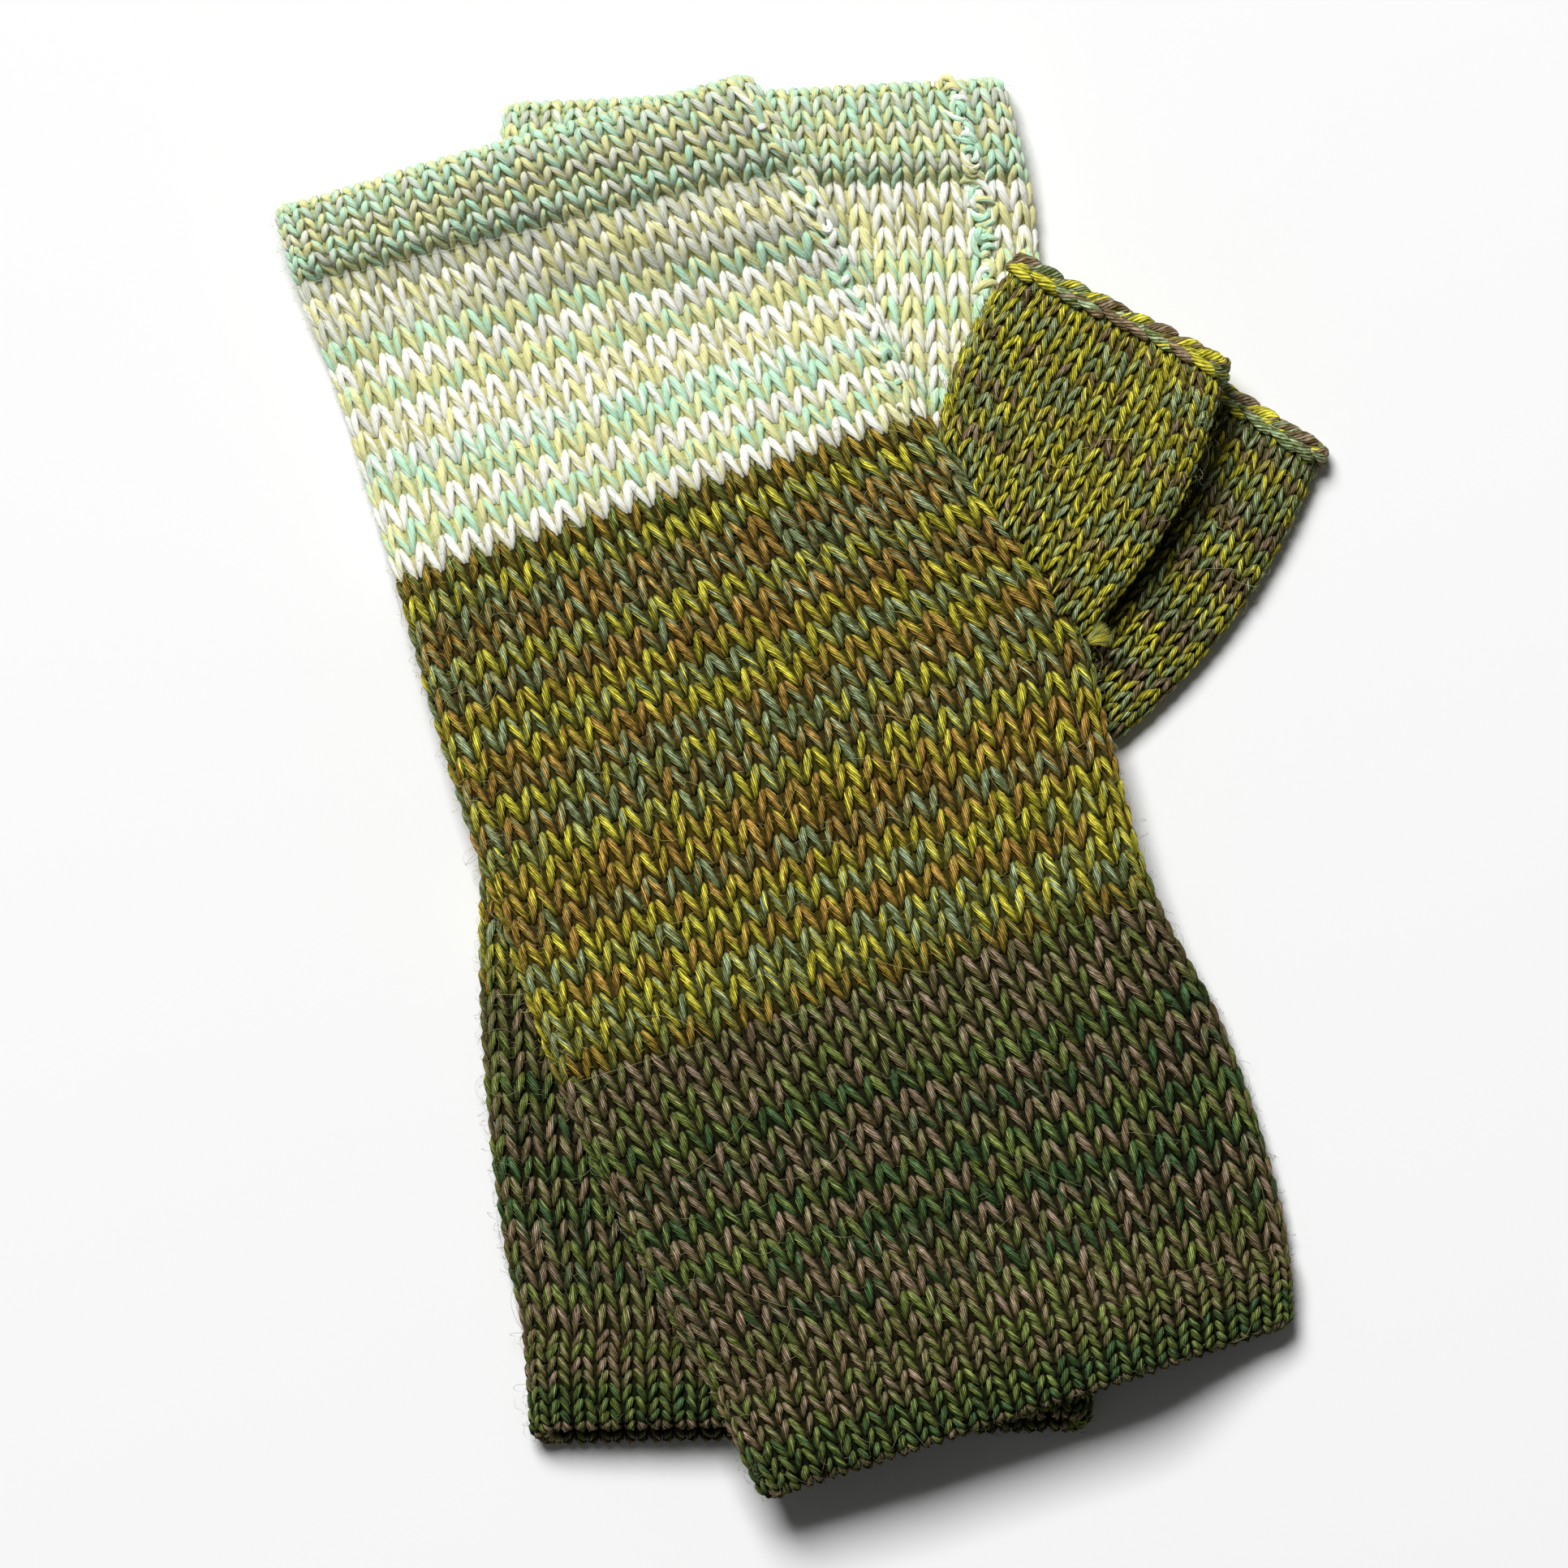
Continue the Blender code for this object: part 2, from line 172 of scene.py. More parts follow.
class Shade(Enum):
    """The dyed wools that the plied yarn is spun from, with a white greyed as painted shade and a
    straw tint of painted light.
    """

    WHITE = "#FBFBF2"
    # A white greyed as painted shade, for the welts' rows and the upper mitten's first pale rows
    SHADED_WHITE = "#D8DBCA"
    CITRON = "#E6E3A2"
    MINT = "#BFE9CB"
    ACID = "#CCC442"
    BROWN = "#AE8A42"
    OCHRE = "#A68A38"
    TEAL = "#93A27C"
    TAUPE = "#8C7963"
    FOREST = "#46623B"
    MOSS = "#768343"
    # A straw tint that loose fibres are paled towards, which is painted light
    LIT_STRAW = "#C9C2A0"


@dataclass(frozen=True)
class RowYarn:
    """The yarn along one row.

    Attributes:
        lead: The colour of most strands.
        partner: The colour twisted with it.
        swapped: The share of the row where the partner leads.
        flecks: The share of strands that the twisted-in colour takes.
    """

    lead: Shade
    partner: Shade
    swapped: float
    flecks: float


CREAM_ROW = RowYarn(Shade.WHITE, Shade.CITRON, 0.02, 0.08)
CREAM_MINT_ROW = RowYarn(Shade.WHITE, Shade.MINT, 0.10, 0.30)
# Rows led by the greyed white, which is painted shade
SHADED_WHITE_ROW = RowYarn(Shade.SHADED_WHITE, Shade.CITRON, 0.10, 0.20)
SHADED_WHITE_MINT_ROW = RowYarn(Shade.SHADED_WHITE, Shade.MINT, 0.20, 0.34)
CITRON_ROW = RowYarn(Shade.CITRON, Shade.WHITE, 0.20, 0.38)
CITRON_MINT_ROW = RowYarn(Shade.CITRON, Shade.MINT, 0.25, 0.38)
MINT_ROW = RowYarn(Shade.CITRON, Shade.MINT, 0.50, 0.44)
ACID_ROW = RowYarn(Shade.ACID, Shade.TEAL, 0.25, 0.30)
ACID_BROWN_ROW = RowYarn(Shade.ACID, Shade.BROWN, 0.45, 0.40)
BROWN_ROW = RowYarn(Shade.BROWN, Shade.ACID, 0.25, 0.32)
BROWN_TEAL_ROW = RowYarn(Shade.BROWN, Shade.TEAL, 0.32, 0.38)
TEAL_ROW = RowYarn(Shade.TEAL, Shade.ACID, 0.40, 0.42)
OCHRE_ROW = RowYarn(Shade.OCHRE, Shade.MOSS, 0.25, 0.36)
TAUPE_ROW = RowYarn(Shade.TAUPE, Shade.MOSS, 0.20, 0.30)
TAUPE_FOREST_ROW = RowYarn(Shade.TAUPE, Shade.FOREST, 0.40, 0.40)
MOSS_ROW = RowYarn(Shade.MOSS, Shade.TAUPE, 0.25, 0.35)
FOREST_ROW = RowYarn(Shade.FOREST, Shade.MOSS, 0.30, 0.35)

# The welts' rows are partly in the greyed white, which is painted shade
FINGER_WELT_ROWS = (
    CITRON_MINT_ROW, SHADED_WHITE_MINT_ROW, CITRON_MINT_ROW, SHADED_WHITE_ROW, MINT_ROW, SHADED_WHITE_MINT_ROW,
    MINT_ROW,
)
PALE_ROWS = (
    CREAM_ROW, CITRON_ROW, CREAM_ROW, MINT_ROW, CREAM_ROW, CITRON_MINT_ROW, CREAM_ROW,
    CITRON_ROW, CREAM_MINT_ROW, CITRON_MINT_ROW, CREAM_ROW, MINT_ROW, CREAM_ROW,
)
# The upper mitten's first pale rows are also in the greyed white: painted shade below its welt
OVER_PALE_ROWS = (SHADED_WHITE_ROW, CITRON_ROW, SHADED_WHITE_ROW, *PALE_ROWS[3:])
OLIVE_ROWS = (
    OCHRE_ROW, ACID_ROW, BROWN_TEAL_ROW, BROWN_TEAL_ROW, ACID_ROW, BROWN_TEAL_ROW,
    ACID_BROWN_ROW, TEAL_ROW, ACID_BROWN_ROW, BROWN_TEAL_ROW, ACID_ROW, BROWN_TEAL_ROW,
    ACID_ROW, BROWN_ROW, BROWN_ROW, BROWN_TEAL_ROW, ACID_BROWN_ROW, ACID_ROW, BROWN_ROW,
    ACID_ROW, TEAL_ROW, OCHRE_ROW,
)
DARK_ROWS = (
    TAUPE_ROW, TAUPE_ROW, MOSS_ROW, TAUPE_ROW, FOREST_ROW, TAUPE_ROW, TAUPE_FOREST_ROW,
    TAUPE_ROW, FOREST_ROW, TAUPE_ROW, FOREST_ROW, TAUPE_FOREST_ROW, TAUPE_ROW,
    TAUPE_FOREST_ROW, MOSS_ROW, TAUPE_ROW,
)
WRIST_WELT_ROWS = (
    TAUPE_ROW, MOSS_ROW, TAUPE_ROW, MOSS_ROW, FOREST_ROW, FOREST_ROW, FOREST_ROW,
)
UNDER_THUMB_ROWS = (
    RowYarn(Shade.ACID, Shade.TEAL, 0.60, 0.45),
    RowYarn(Shade.TEAL, Shade.TAUPE, 0.55, 0.45),
    RowYarn(Shade.TAUPE, Shade.ACID, 0.40, 0.40),
    RowYarn(Shade.TEAL, Shade.ACID, 0.35, 0.40),
)
OVER_THUMB_ROWS = (
    RowYarn(Shade.ACID, Shade.TEAL, 0.40, 0.40),
    RowYarn(Shade.ACID, Shade.TAUPE, 0.40, 0.42),
    RowYarn(Shade.ACID, Shade.TEAL, 0.50, 0.42),
)


@dataclass(frozen=True)
class Section:
    """One measured section across a mitten: its middle, width and tilt in degrees."""

    place: str
    x: float
    y: float
    width: float
    tilt: float


@dataclass(frozen=True)
class ThumbSize:
    """The thumb's end, and how far its two sides bow outwards."""

    end_x: float
    end_y: float
    end_width: float
    end_tilt: float
    bulge_out: float
    bulge_in: float


@dataclass(frozen=True)
class Crease:
    """A soft ridge in the top layer, or a trough where its lift is negative.

    Its middle is at across and along. Its heading is in degrees, 0 straight across the mitten.
    """

    across: float
    along: float
    heading: float
    half_length: float
    half_width: float
    lift: float

    def height(self, across: np.ndarray, along: np.ndarray) -> np.ndarray:
        """Read the height that it adds.

        Args:
            across: Places across the mitten.
            along: Places along it.

        Returns:
            The height at each place.
        """
        angle = math.radians(self.heading)
        x, y = across - self.across, along - self.along
        u = (x * math.cos(angle) + y * math.sin(angle)) / self.half_length
        v = (y * math.cos(angle) - x * math.sin(angle)) / self.half_width
        return self.lift * np.exp(-u * u - v * v)


@dataclass
class Mitten:
    """One mitten's form: a flattened tube along measured sections, with a thumb at its right."""

    name: str
    sections: tuple[Section, ...]
    thumb: ThumbSize
    seam_inset: float
    lower_layer: float
    creases: tuple[Crease, ...] = ()
    thumb_creases: tuple[Crease, ...] = ()
    ground: Optional["Ground"] = None

    def __post_init__(self) -> None:
        """Work out the lengths and slopes of the smooth curve through the sections."""
        self.values = np.array([[s.x, s.y, s.width, s.tilt] for s in self.sections])
        steps = np.hypot(*np.diff(self.values[:, :2], axis=0).T)
        self.known = np.concatenate([[0.0], np.cumsum(steps)])
        self.slopes = np.gradient(self.values, self.known, axis=0)
        self.end = float(self.known[-1])
        self.finger_seam = self.length_at("finger seam")
        self.wrist_seam = self.length_at("wrist seam")
        self.thumb_top = self.length_at("pale end") + THUMB_TOP_OFFSET
        self.crotch = self.length_at("crotch")

    def length_at(self, place: str) -> float:
        """The length along the middle line at a named section."""
        return float(self.known[[s.place for s in self.sections].index(place)])

    def station(self, length: np.ndarray) -> tuple[np.ndarray, ...]:
        """Read the form at a length.

        Args:
            length: Millimetres along the middle line.

        Returns:
            The middle's x and y, the width, and the tilt in radians.
        """
        length = np.clip(length, 0.0, self.end)
        i = np.clip(np.searchsorted(self.known, length, side="right") - 1, 0, len(self.known) - 2)
        span = self.known[i + 1] - self.known[i]
        t = ((length - self.known[i]) / span)[..., None]
        span = span[..., None]
        value = (1 + 2 * t) * (1 - t) ** 2 * self.values[i]
        value += t * (1 - t) ** 2 * span * self.slopes[i]
        value += t * t * (3 - 2 * t) * self.values[i + 1]
        value += t * t * (t - 1) * span * self.slopes[i + 1]
        x, y, width, tilt = np.moveaxis(value, -1, 0)
        return x, y, width, np.radians(tilt)

    def height_at(self, length: np.ndarray) -> np.ndarray:
        """The flattened tube's height at a length: higher in the turned hems."""
        into_hem = np.maximum(self.finger_seam - length, length - self.wrist_seam)
        return BODY_HEIGHT + (WELT_HEIGHT - BODY_HEIGHT) * smooth(into_hem / WELT_RISE)

    def side_point(self, length: np.ndarray, across: Number) -> tuple[np.ndarray, np.ndarray]:
        """The point at a distance across from the middle line, in plan."""
        x, y, _, tilt = self.station(np.asarray(length, float))
        return x + across * np.cos(tilt), y + across * np.sin(tilt)

    def outline(
        self, start: float, end: float, inset: float = 0.0, half: float = 0.0
    ) -> np.ndarray:
        """A stretch of the body in plan, or of a strip beside its right edge.

        Args:
            start: Length where the stretch begins.
            end: Length where it ends.
            inset: Distance of the strip's middle from the right edge.
            half: Half the strip's width, or 0 for the whole body.

        Returns:
            The closed outline's corners.
        """
        lengths = np.linspace(start, end, max(3, int((end - start) / OUTLINE_STEP)))
        edge = self.station(lengths)[2] / 2
        right = edge - inset + half
        left = edge - inset - half if half else -edge
        sides = [np.stack(self.side_point(lengths, side), axis=-1) for side in (right, left)]
        return np.concatenate([sides[0], sides[1][::-1]])

    def thumb_point(
        self, along: np.ndarray, share: np.ndarray, up: Number
    ) -> tuple[np.ndarray, np.ndarray]:
        """A point on the thumb in plan.

        Args:
            along: Share of the way from the root to the end.
            share: Share of the way across, from the finger side to the crotch.
            up: Height above the tube's middle.

        Returns:
            The point's x and y.
        """
        length = self.thumb_top + (self.crotch - self.thumb_top) * share
        radius = BODY_HEIGHT / 2
        reach = np.sqrt(np.maximum((radius + THUMB_ROOT_GAP) ** 2 - np.square(up), 0.0))
        half = self.station(length)[2] / 2
        root_x, root_y = self.side_point(length, half - radius + reach)
        angle = math.radians(self.thumb.end_tilt)
        offset = self.thumb.end_width * (share - 0.5)
        end_x = self.thumb.end_x + offset * math.cos(angle)
        end_y = self.thumb.end_y + offset * math.sin(angle)
        side = 2 * share - 1
        bulge = self.thumb.bulge_out * np.maximum(side, 0)
        bulge = bulge - self.thumb.bulge_in * np.maximum(-side, 0)
        bulge = bulge * 4 * along * (1 - along)
        x = root_x + (end_x - root_x) * along + bulge * math.cos(angle)
        y = root_y + (end_y - root_y) * along + bulge * math.sin(angle)
        return x, y

    def thumb_outline(self, start: float, end: float) -> np.ndarray:
        """A stretch of the thumb in plan.

        Args:
            start: Share of its length where the stretch begins.
            end: Share where it ends.

        Returns:
            The closed outline's corners.
        """
        along = np.linspace(start, end, 9)
        edges = [self.thumb_point(along, np.full(along.shape, side), 0.0) for side in (1.0, 0.0)]
        sides = [np.stack(edge, axis=-1) for edge in edges]
        return np.concatenate([sides[0], sides[1][::-1]])

    def placed(self, x: np.ndarray, y: np.ndarray, z: np.ndarray) -> np.ndarray:
        """Put points on what this mitten lies on.

        Args:
            x: Their x in millimetres.
            y: Their y.
            z: Their height above what it lies on.

        Returns:
            The points in metres in the shared frame.
        """
        if self.ground is not None:
            z = z + self.ground.height(x, y)
        return np.stack([x - MIDDLE[0], y - MIDDLE[1], z], axis=-1) * MM


def edge_distance(outline: np.ndarray, x: np.ndarray, y: np.ndarray) -> np.ndarray:
    """Measure how far points lie from a closed outline.

    Args:
        outline: The outline's corners.
        x: The points' x.
        y: The points' y.

    Returns:
        The distance, negative inside the outline.
    """
    nearest = np.full(x.shape, np.inf)
    inside = np.zeros(x.shape, bool)
    for (ax, ay), (bx, by) in zip(outline, np.roll(outline, -1, axis=0)):
        dx, dy = bx - ax, by - ay
        t = np.clip(((x - ax) * dx + (y - ay) * dy) / max(dx * dx + dy * dy, 1e-9), 0.0, 1.0)
        nearest = np.minimum(nearest, np.hypot(x - ax - t * dx, y - ay - t * dy))
        if ay != by:
            inside ^= ((ay > y) != (by > y)) & (x < ax + (y - ay) * dx / dy)
    return np.where(inside, -nearest, nearest)


class Ground:
    """The height of what the upper mitten lies on, read from a fine grid."""

    def __init__(self, under: Mitten) -> None:
        """Lay the cloth over each part of the lower mitten.

        Args:
            under: The lower mitten.
        """
        heaps = (
            (under.outline(0.0, under.end), BODY_HEIGHT),
            (under.outline(0.0, under.finger_seam), WELT_HEIGHT),
            (under.outline(under.wrist_seam, under.end + under.lower_layer), WELT_HEIGHT),
            (under.thumb_outline(0.0, 1.0), BODY_HEIGHT),
            (under.thumb_outline(CASTOFF_FROM, 1.0), BODY_HEIGHT + 2 * CASTOFF_PROUD),
            (
                under.outline(0.0, under.thumb_top, under.seam_inset, SEAM_HALF_WIDTH),
                BODY_HEIGHT + SEAM_RISE,
            ),
        )
        self.start = np.array(DRAPE_CORNER)
        counts = [int(-2 * low / DRAPE_GRID) for low in self.start]
        x, y = np.meshgrid(
            *[low + DRAPE_GRID * np.arange(n) for low, n in zip(self.start, counts)], indexing="ij"
        )
        total = np.zeros(x.shape)
        for outline, height in heaps:
            beyond = edge_distance(outline, x, y) - DRAPE_MARGIN
            lift = height * (1 - smooth(beyond / (DRAPE_SLOPE * height)))
            total += lift**DRAPE_BLEND
        lift = total ** (1 / DRAPE_BLEND)
        self.grid = lift + LAY_GAP * smooth(lift)

    def height(self, x: np.ndarray, y: np.ndarray) -> np.ndarray:
        """Read the height of what the upper mitten lies on.

        Args:
            x: The points' x.
            y: The points' y.

        Returns:
            The height at each.
        """
        place = [(v - low) / DRAPE_GRID for v, low in zip((x, y), self.start)]
        i, j = (np.clip(p.astype(int), 0, n - 2) for p, n in zip(place, self.grid.shape))
        u, v = place[0] - i, place[1] - j
        near = self.grid[i, j] * (1 - v) + self.grid[i, j + 1] * v
        far = self.grid[i + 1, j] * (1 - v) + self.grid[i + 1, j + 1] * v
        return near * (1 - u) + far * u


def flat_ring(turn: np.ndarray, half: Number, radius: Number) -> tuple[np.ndarray, ...]:
    """Follow a flattened tube's outline.

    Args:
        turn: Share of the way round, from the left fold over the top.
        half: Half the length of the flat part.
        radius: Radius of the folds.

    Returns:
        The place along the flat part, and the outward direction across and up.
    """
    quarter = math.pi * radius / 2
    way = np.mod(turn, 1.0) * (4 * half + 4 * quarter)
    top = way - quarter
    right = top - 2 * half
    bottom = right - 2 * quarter
    left = bottom - 2 * half
    over = np.clip(top, 0, 2 * half) - half
    under = half - np.clip(bottom, 0, 2 * half)
    turned = np.clip(way, 0, quarter) + np.clip(right, 0, 2 * quarter) + np.clip(left, 0, quarter)
    angle = math.pi - turned / radius
    return np.where(right <= 0, over, under), np.cos(angle), np.sin(angle)


def round_hem(run: np.ndarray, out: Number, radius: float) -> tuple[np.ndarray, np.ndarray]:
    """Turn cloth in round an edge.

    Args:
        run: Millimetres along the cloth, 0 at the edge's outermost point.
        out: Millimetres outwards from the cloth.
        radius: Radius of the fold.

    Returns:
        The distance from the edge, and the depth below the outer surface.
    """
    ahead = radius - run
    angle = np.clip(ahead / radius, 0.0, math.pi)
    inside = np.maximum(ahead - math.pi * radius, 0.0)
    away = np.where(ahead < 0, run, radius - (radius + out) * np.sin(angle) + inside)
    return away, radius - (radius + out) * np.cos(angle)


class Surface(Protocol):
    """Cloth that stitches lie on."""

    def at(self, turn: np.ndarray, run: np.ndarray, out: Number) -> np.ndarray:
        """Points of the cloth in metres."""

    def girth(self, run: np.ndarray) -> np.ndarray:
        """Millimetres round the cloth."""


@dataclass(frozen=True)
class BodyCloth:
    """The hand's tube, with its hems turned in at both ends."""

    mitten: Mitten

    def at(self, turn: np.ndarray, run: np.ndarray, out: Number) -> np.ndarray:
        """Points of the cloth.

        Args:
            turn: Share of the way round.
            run: Millimetres from the finger edge. Past either edge it goes on inside.
            out: Millimetres outwards.

        Returns:
            The points in metres.
        """
        mitten = self.mitten
        turn, run, out = np.broadcast_arrays(turn, run, out)
        near_fingers = run < mitten.end / 2
        away, depth = round_hem(np.where(near_fingers, run, mitten.end - run), out, HEM_RADIUS)
        length = np.where(near_fingers, away, mitten.end - away)
        x, y, width, tilt = mitten.station(length)
        height = mitten.height_at(length)
        radius = height / 2
        spine, normal_across, normal_up = flat_ring(turn, width / 2 - radius, radius)
        across = spine + (radius - depth) * normal_across
        up = (radius - depth) * normal_up
        reach = smooth((length - mitten.end + LOWER_LAYER_REACH) / LOWER_LAYER_REACH)
        down = mitten.lower_layer * reach * (0.5 - up / height)
        px = x + across * np.cos(tilt) + down * np.sin(tilt)
        py = y + across * np.sin(tilt) - down * np.cos(tilt)
        top = smooth(0.5 + CREASE_FADE * up / height)
        swell = sum(crease.height(across, length) for crease in mitten.creases)
        return mitten.placed(px, py, radius + up + top * swell)

    def girth(self, run: np.ndarray) -> np.ndarray:
        """Measure round the tube.

        Args:
            run: Millimetres from the finger edge.

        Returns:
            Millimetres round it there.
        """
        length = np.clip(run, 0.0, self.mitten.end)
        height = self.mitten.height_at(length)
        return 2 * (self.mitten.station(length)[2] - height) + math.pi * height


@dataclass(frozen=True)
class ThumbCloth:
    """The thumb's tube. Its run counts from the open end."""

    mitten: Mitten

    def lengths(self, share: np.ndarray) -> np.ndarray:
        """Measure the tube from root to end.

        Args:
            share: Shares of the way across.

        Returns:
            Its length at each.
        """
        known = np.linspace(0.0, 1.0, THUMB_STEPS)
        root = np.stack(self.mitten.thumb_point(np.zeros(THUMB_STEPS), known, 0.0))
        end = np.stack(self.mitten.thumb_point(np.ones(THUMB_STEPS), known, 0.0))
        return np.interp(share, known, np.hypot(*(end - root)))

    def reach(self, turn: np.ndarray) -> np.ndarray:
        """Measure the tube from root to end.

        Args:
            turn: Shares of the way round.

        Returns:
            Its length at each.
        """
        radius = BODY_HEIGHT / 2
        spine, across, _ = flat_ring(turn, self.width(0.5) / 2 - radius, radius)
        return self.lengths(0.5 + (spine + radius * across) / self.width(0.5))

    def width(self, along: Number) -> Number:
        """The flat tube's width at a share of its length."""
        root = self.mitten.crotch - self.mitten.thumb_top
        return root + (self.mitten.thumb.end_width - root) * along

    def at(self, turn: np.ndarray, run: np.ndarray, out: Number) -> np.ndarray:
        """Points of the cloth.

        Args:
            turn: Share of the way round.
            run: Millimetres from the open end. Below 0 it goes on inside.
            out: Millimetres outwards.

        Returns:
            The points in metres.
        """
        turn, run, out = np.broadcast_arrays(turn, run, out)
        away, depth = round_hem(run, out, THUMB_EDGE_RADIUS)
        radius = BODY_HEIGHT / 2
        spine, normal_across, normal_up = flat_ring(turn, self.width(0.5) / 2 - radius, radius)
        first = 0.5 + (spine + radius * normal_across) / self.width(0.5)
        along = 1 - away / self.lengths(first)
        width = self.width(along)
        spine, normal_across, normal_up = flat_ring(turn, width / 2 - radius, radius)
        across = spine + (radius - depth) * normal_across
        up = (radius - depth) * normal_up
        x, y = self.mitten.thumb_point(along, 0.5 + across / width, up)
        top = smooth(0.5 + CREASE_FADE * up / BODY_HEIGHT)
        swell = sum(crease.height(across, away) for crease in self.mitten.thumb_creases)
        return self.mitten.placed(x, y, radius + up + top * swell)

    def girth(self, run: np.ndarray) -> np.ndarray:
        """Millimetres round the tube."""
        along = 1 - np.clip(run, 0.0, THUMB_LENGTH) / THUMB_LENGTH
        return 2 * (self.width(along) - BODY_HEIGHT) + math.pi * BODY_HEIGHT


# Painted shade: the light painted on a strand falls off from here on its sides, and blue falls off
# fastest, so the painted shade is warm
FLANK = 0.1
BLUE_LOSS = 1.7
# Steps outwards that give the direction a strand faces
FACING_STEP = 0.3
# Strands start at different places of the twist, and keep apart in the bake map
WAY_SPREAD = 50
CELL_MARGIN = 0.08


@dataclass
class Strands:
    """Many strands of yarn of one kind, each along its own row of points.

    Attributes:
        centres: Points in metres, strand by strand, from tip to tip.
        ups: The direction that each strand's broad side faces at each point.
        widths: Half the width at each point, in metres.
        lead: Each strand's main colour in linear light.
        partner: The colour twisted in, with the share of plies that it takes.
        shades: The light painted on each point of a strand, as a share: painted shade below 1 and
            painted highlight above it.
        side_shade: The share of it painted on the strand's sides.
        hollow: How dark the painted shade in the hollows is: about 1 in dark wool, and near 0
            in pale wool, which passes light on.
        flatness: Thickness as a share of the width.
    """

    centres: np.ndarray
    ups: np.ndarray
    widths: np.ndarray
    lead: np.ndarray
    partner: np.ndarray
    shades: tuple[float, ...] = (1.0,)
    side_shade: float = 1.0
    hollow: float = 1.0
    flatness: float = 0.76

    def rest_on_table(self) -> None:
        """Lift what would lie in the table onto it."""
        low = self.widths * self.flatness
        self.centres[..., 2] = np.maximum(self.centres[..., 2], low)

    def rings(self, sides: int) -> np.ndarray:
        """Sweep a ring of points along each strand.

        Args:
            sides: Points in a ring.

        Returns:
            Ring points, by strand, ring and side.
        """
        tangent = unit(np.gradient(self.centres, axis=1))
        across = unit(np.cross(tangent, self.ups))
        up = np.cross(across, tangent)
        turn = 2 * math.pi * np.arange(sides) / sides
        ring = up[:, :, None] * (self.flatness * np.cos(turn))[:, None]
        ring = ring - across[:, :, None] * np.sin(turn)[:, None]
        return self.centres[:, :, None] + ring * self.widths[:, :, None, None]

    def light(self, sides: int) -> np.ndarray:
        """Work out the share of light painted on each point, low in the hollows between strands as
        painted shade.

        Args:
            sides: Points in a ring.

        Returns:
            The shares: the two tips' first, then ring by ring.
        """
        marks = self.centres.shape[1]
        shades = np.broadcast_to(self.shades, marks)
        up = np.cos(2 * math.pi * np.arange(sides) / sides)
        around = self.side_shade + (1 - self.side_shade) * smooth(up + FLANK)
        body = shades[1:-1, None] * around
        return np.concatenate([shades[[0, -1]] * self.side_shade, body.ravel()]) ** self.hollow


def lay_out(
    cloth: Surface,
    places: tuple[np.ndarray, np.ndarray, np.ndarray],
    widths: np.ndarray,
    colours: tuple[np.ndarray, np.ndarray],
    **light: object,
) -> Strands:
    """Lay strands on a cloth.

    Args:
        cloth: The cloth.
        places: Turn, run and out, by strand and point.
        widths: Half widths in millimetres.
        colours: Each strand's lead colour, and its partner's with its share.
        light: How light falls on the strands, by the names that Strands gives.

    Returns:
        The strands.
    """
    turn, run, out = places
    centres = cloth.at(turn, run, out)
    ups = unit(cloth.at(turn, run, out + FACING_STEP) - centres)
    widths = np.broadcast_to(widths * MM, centres.shape[:2])
    return Strands(centres, ups, widths, *colours, **light)


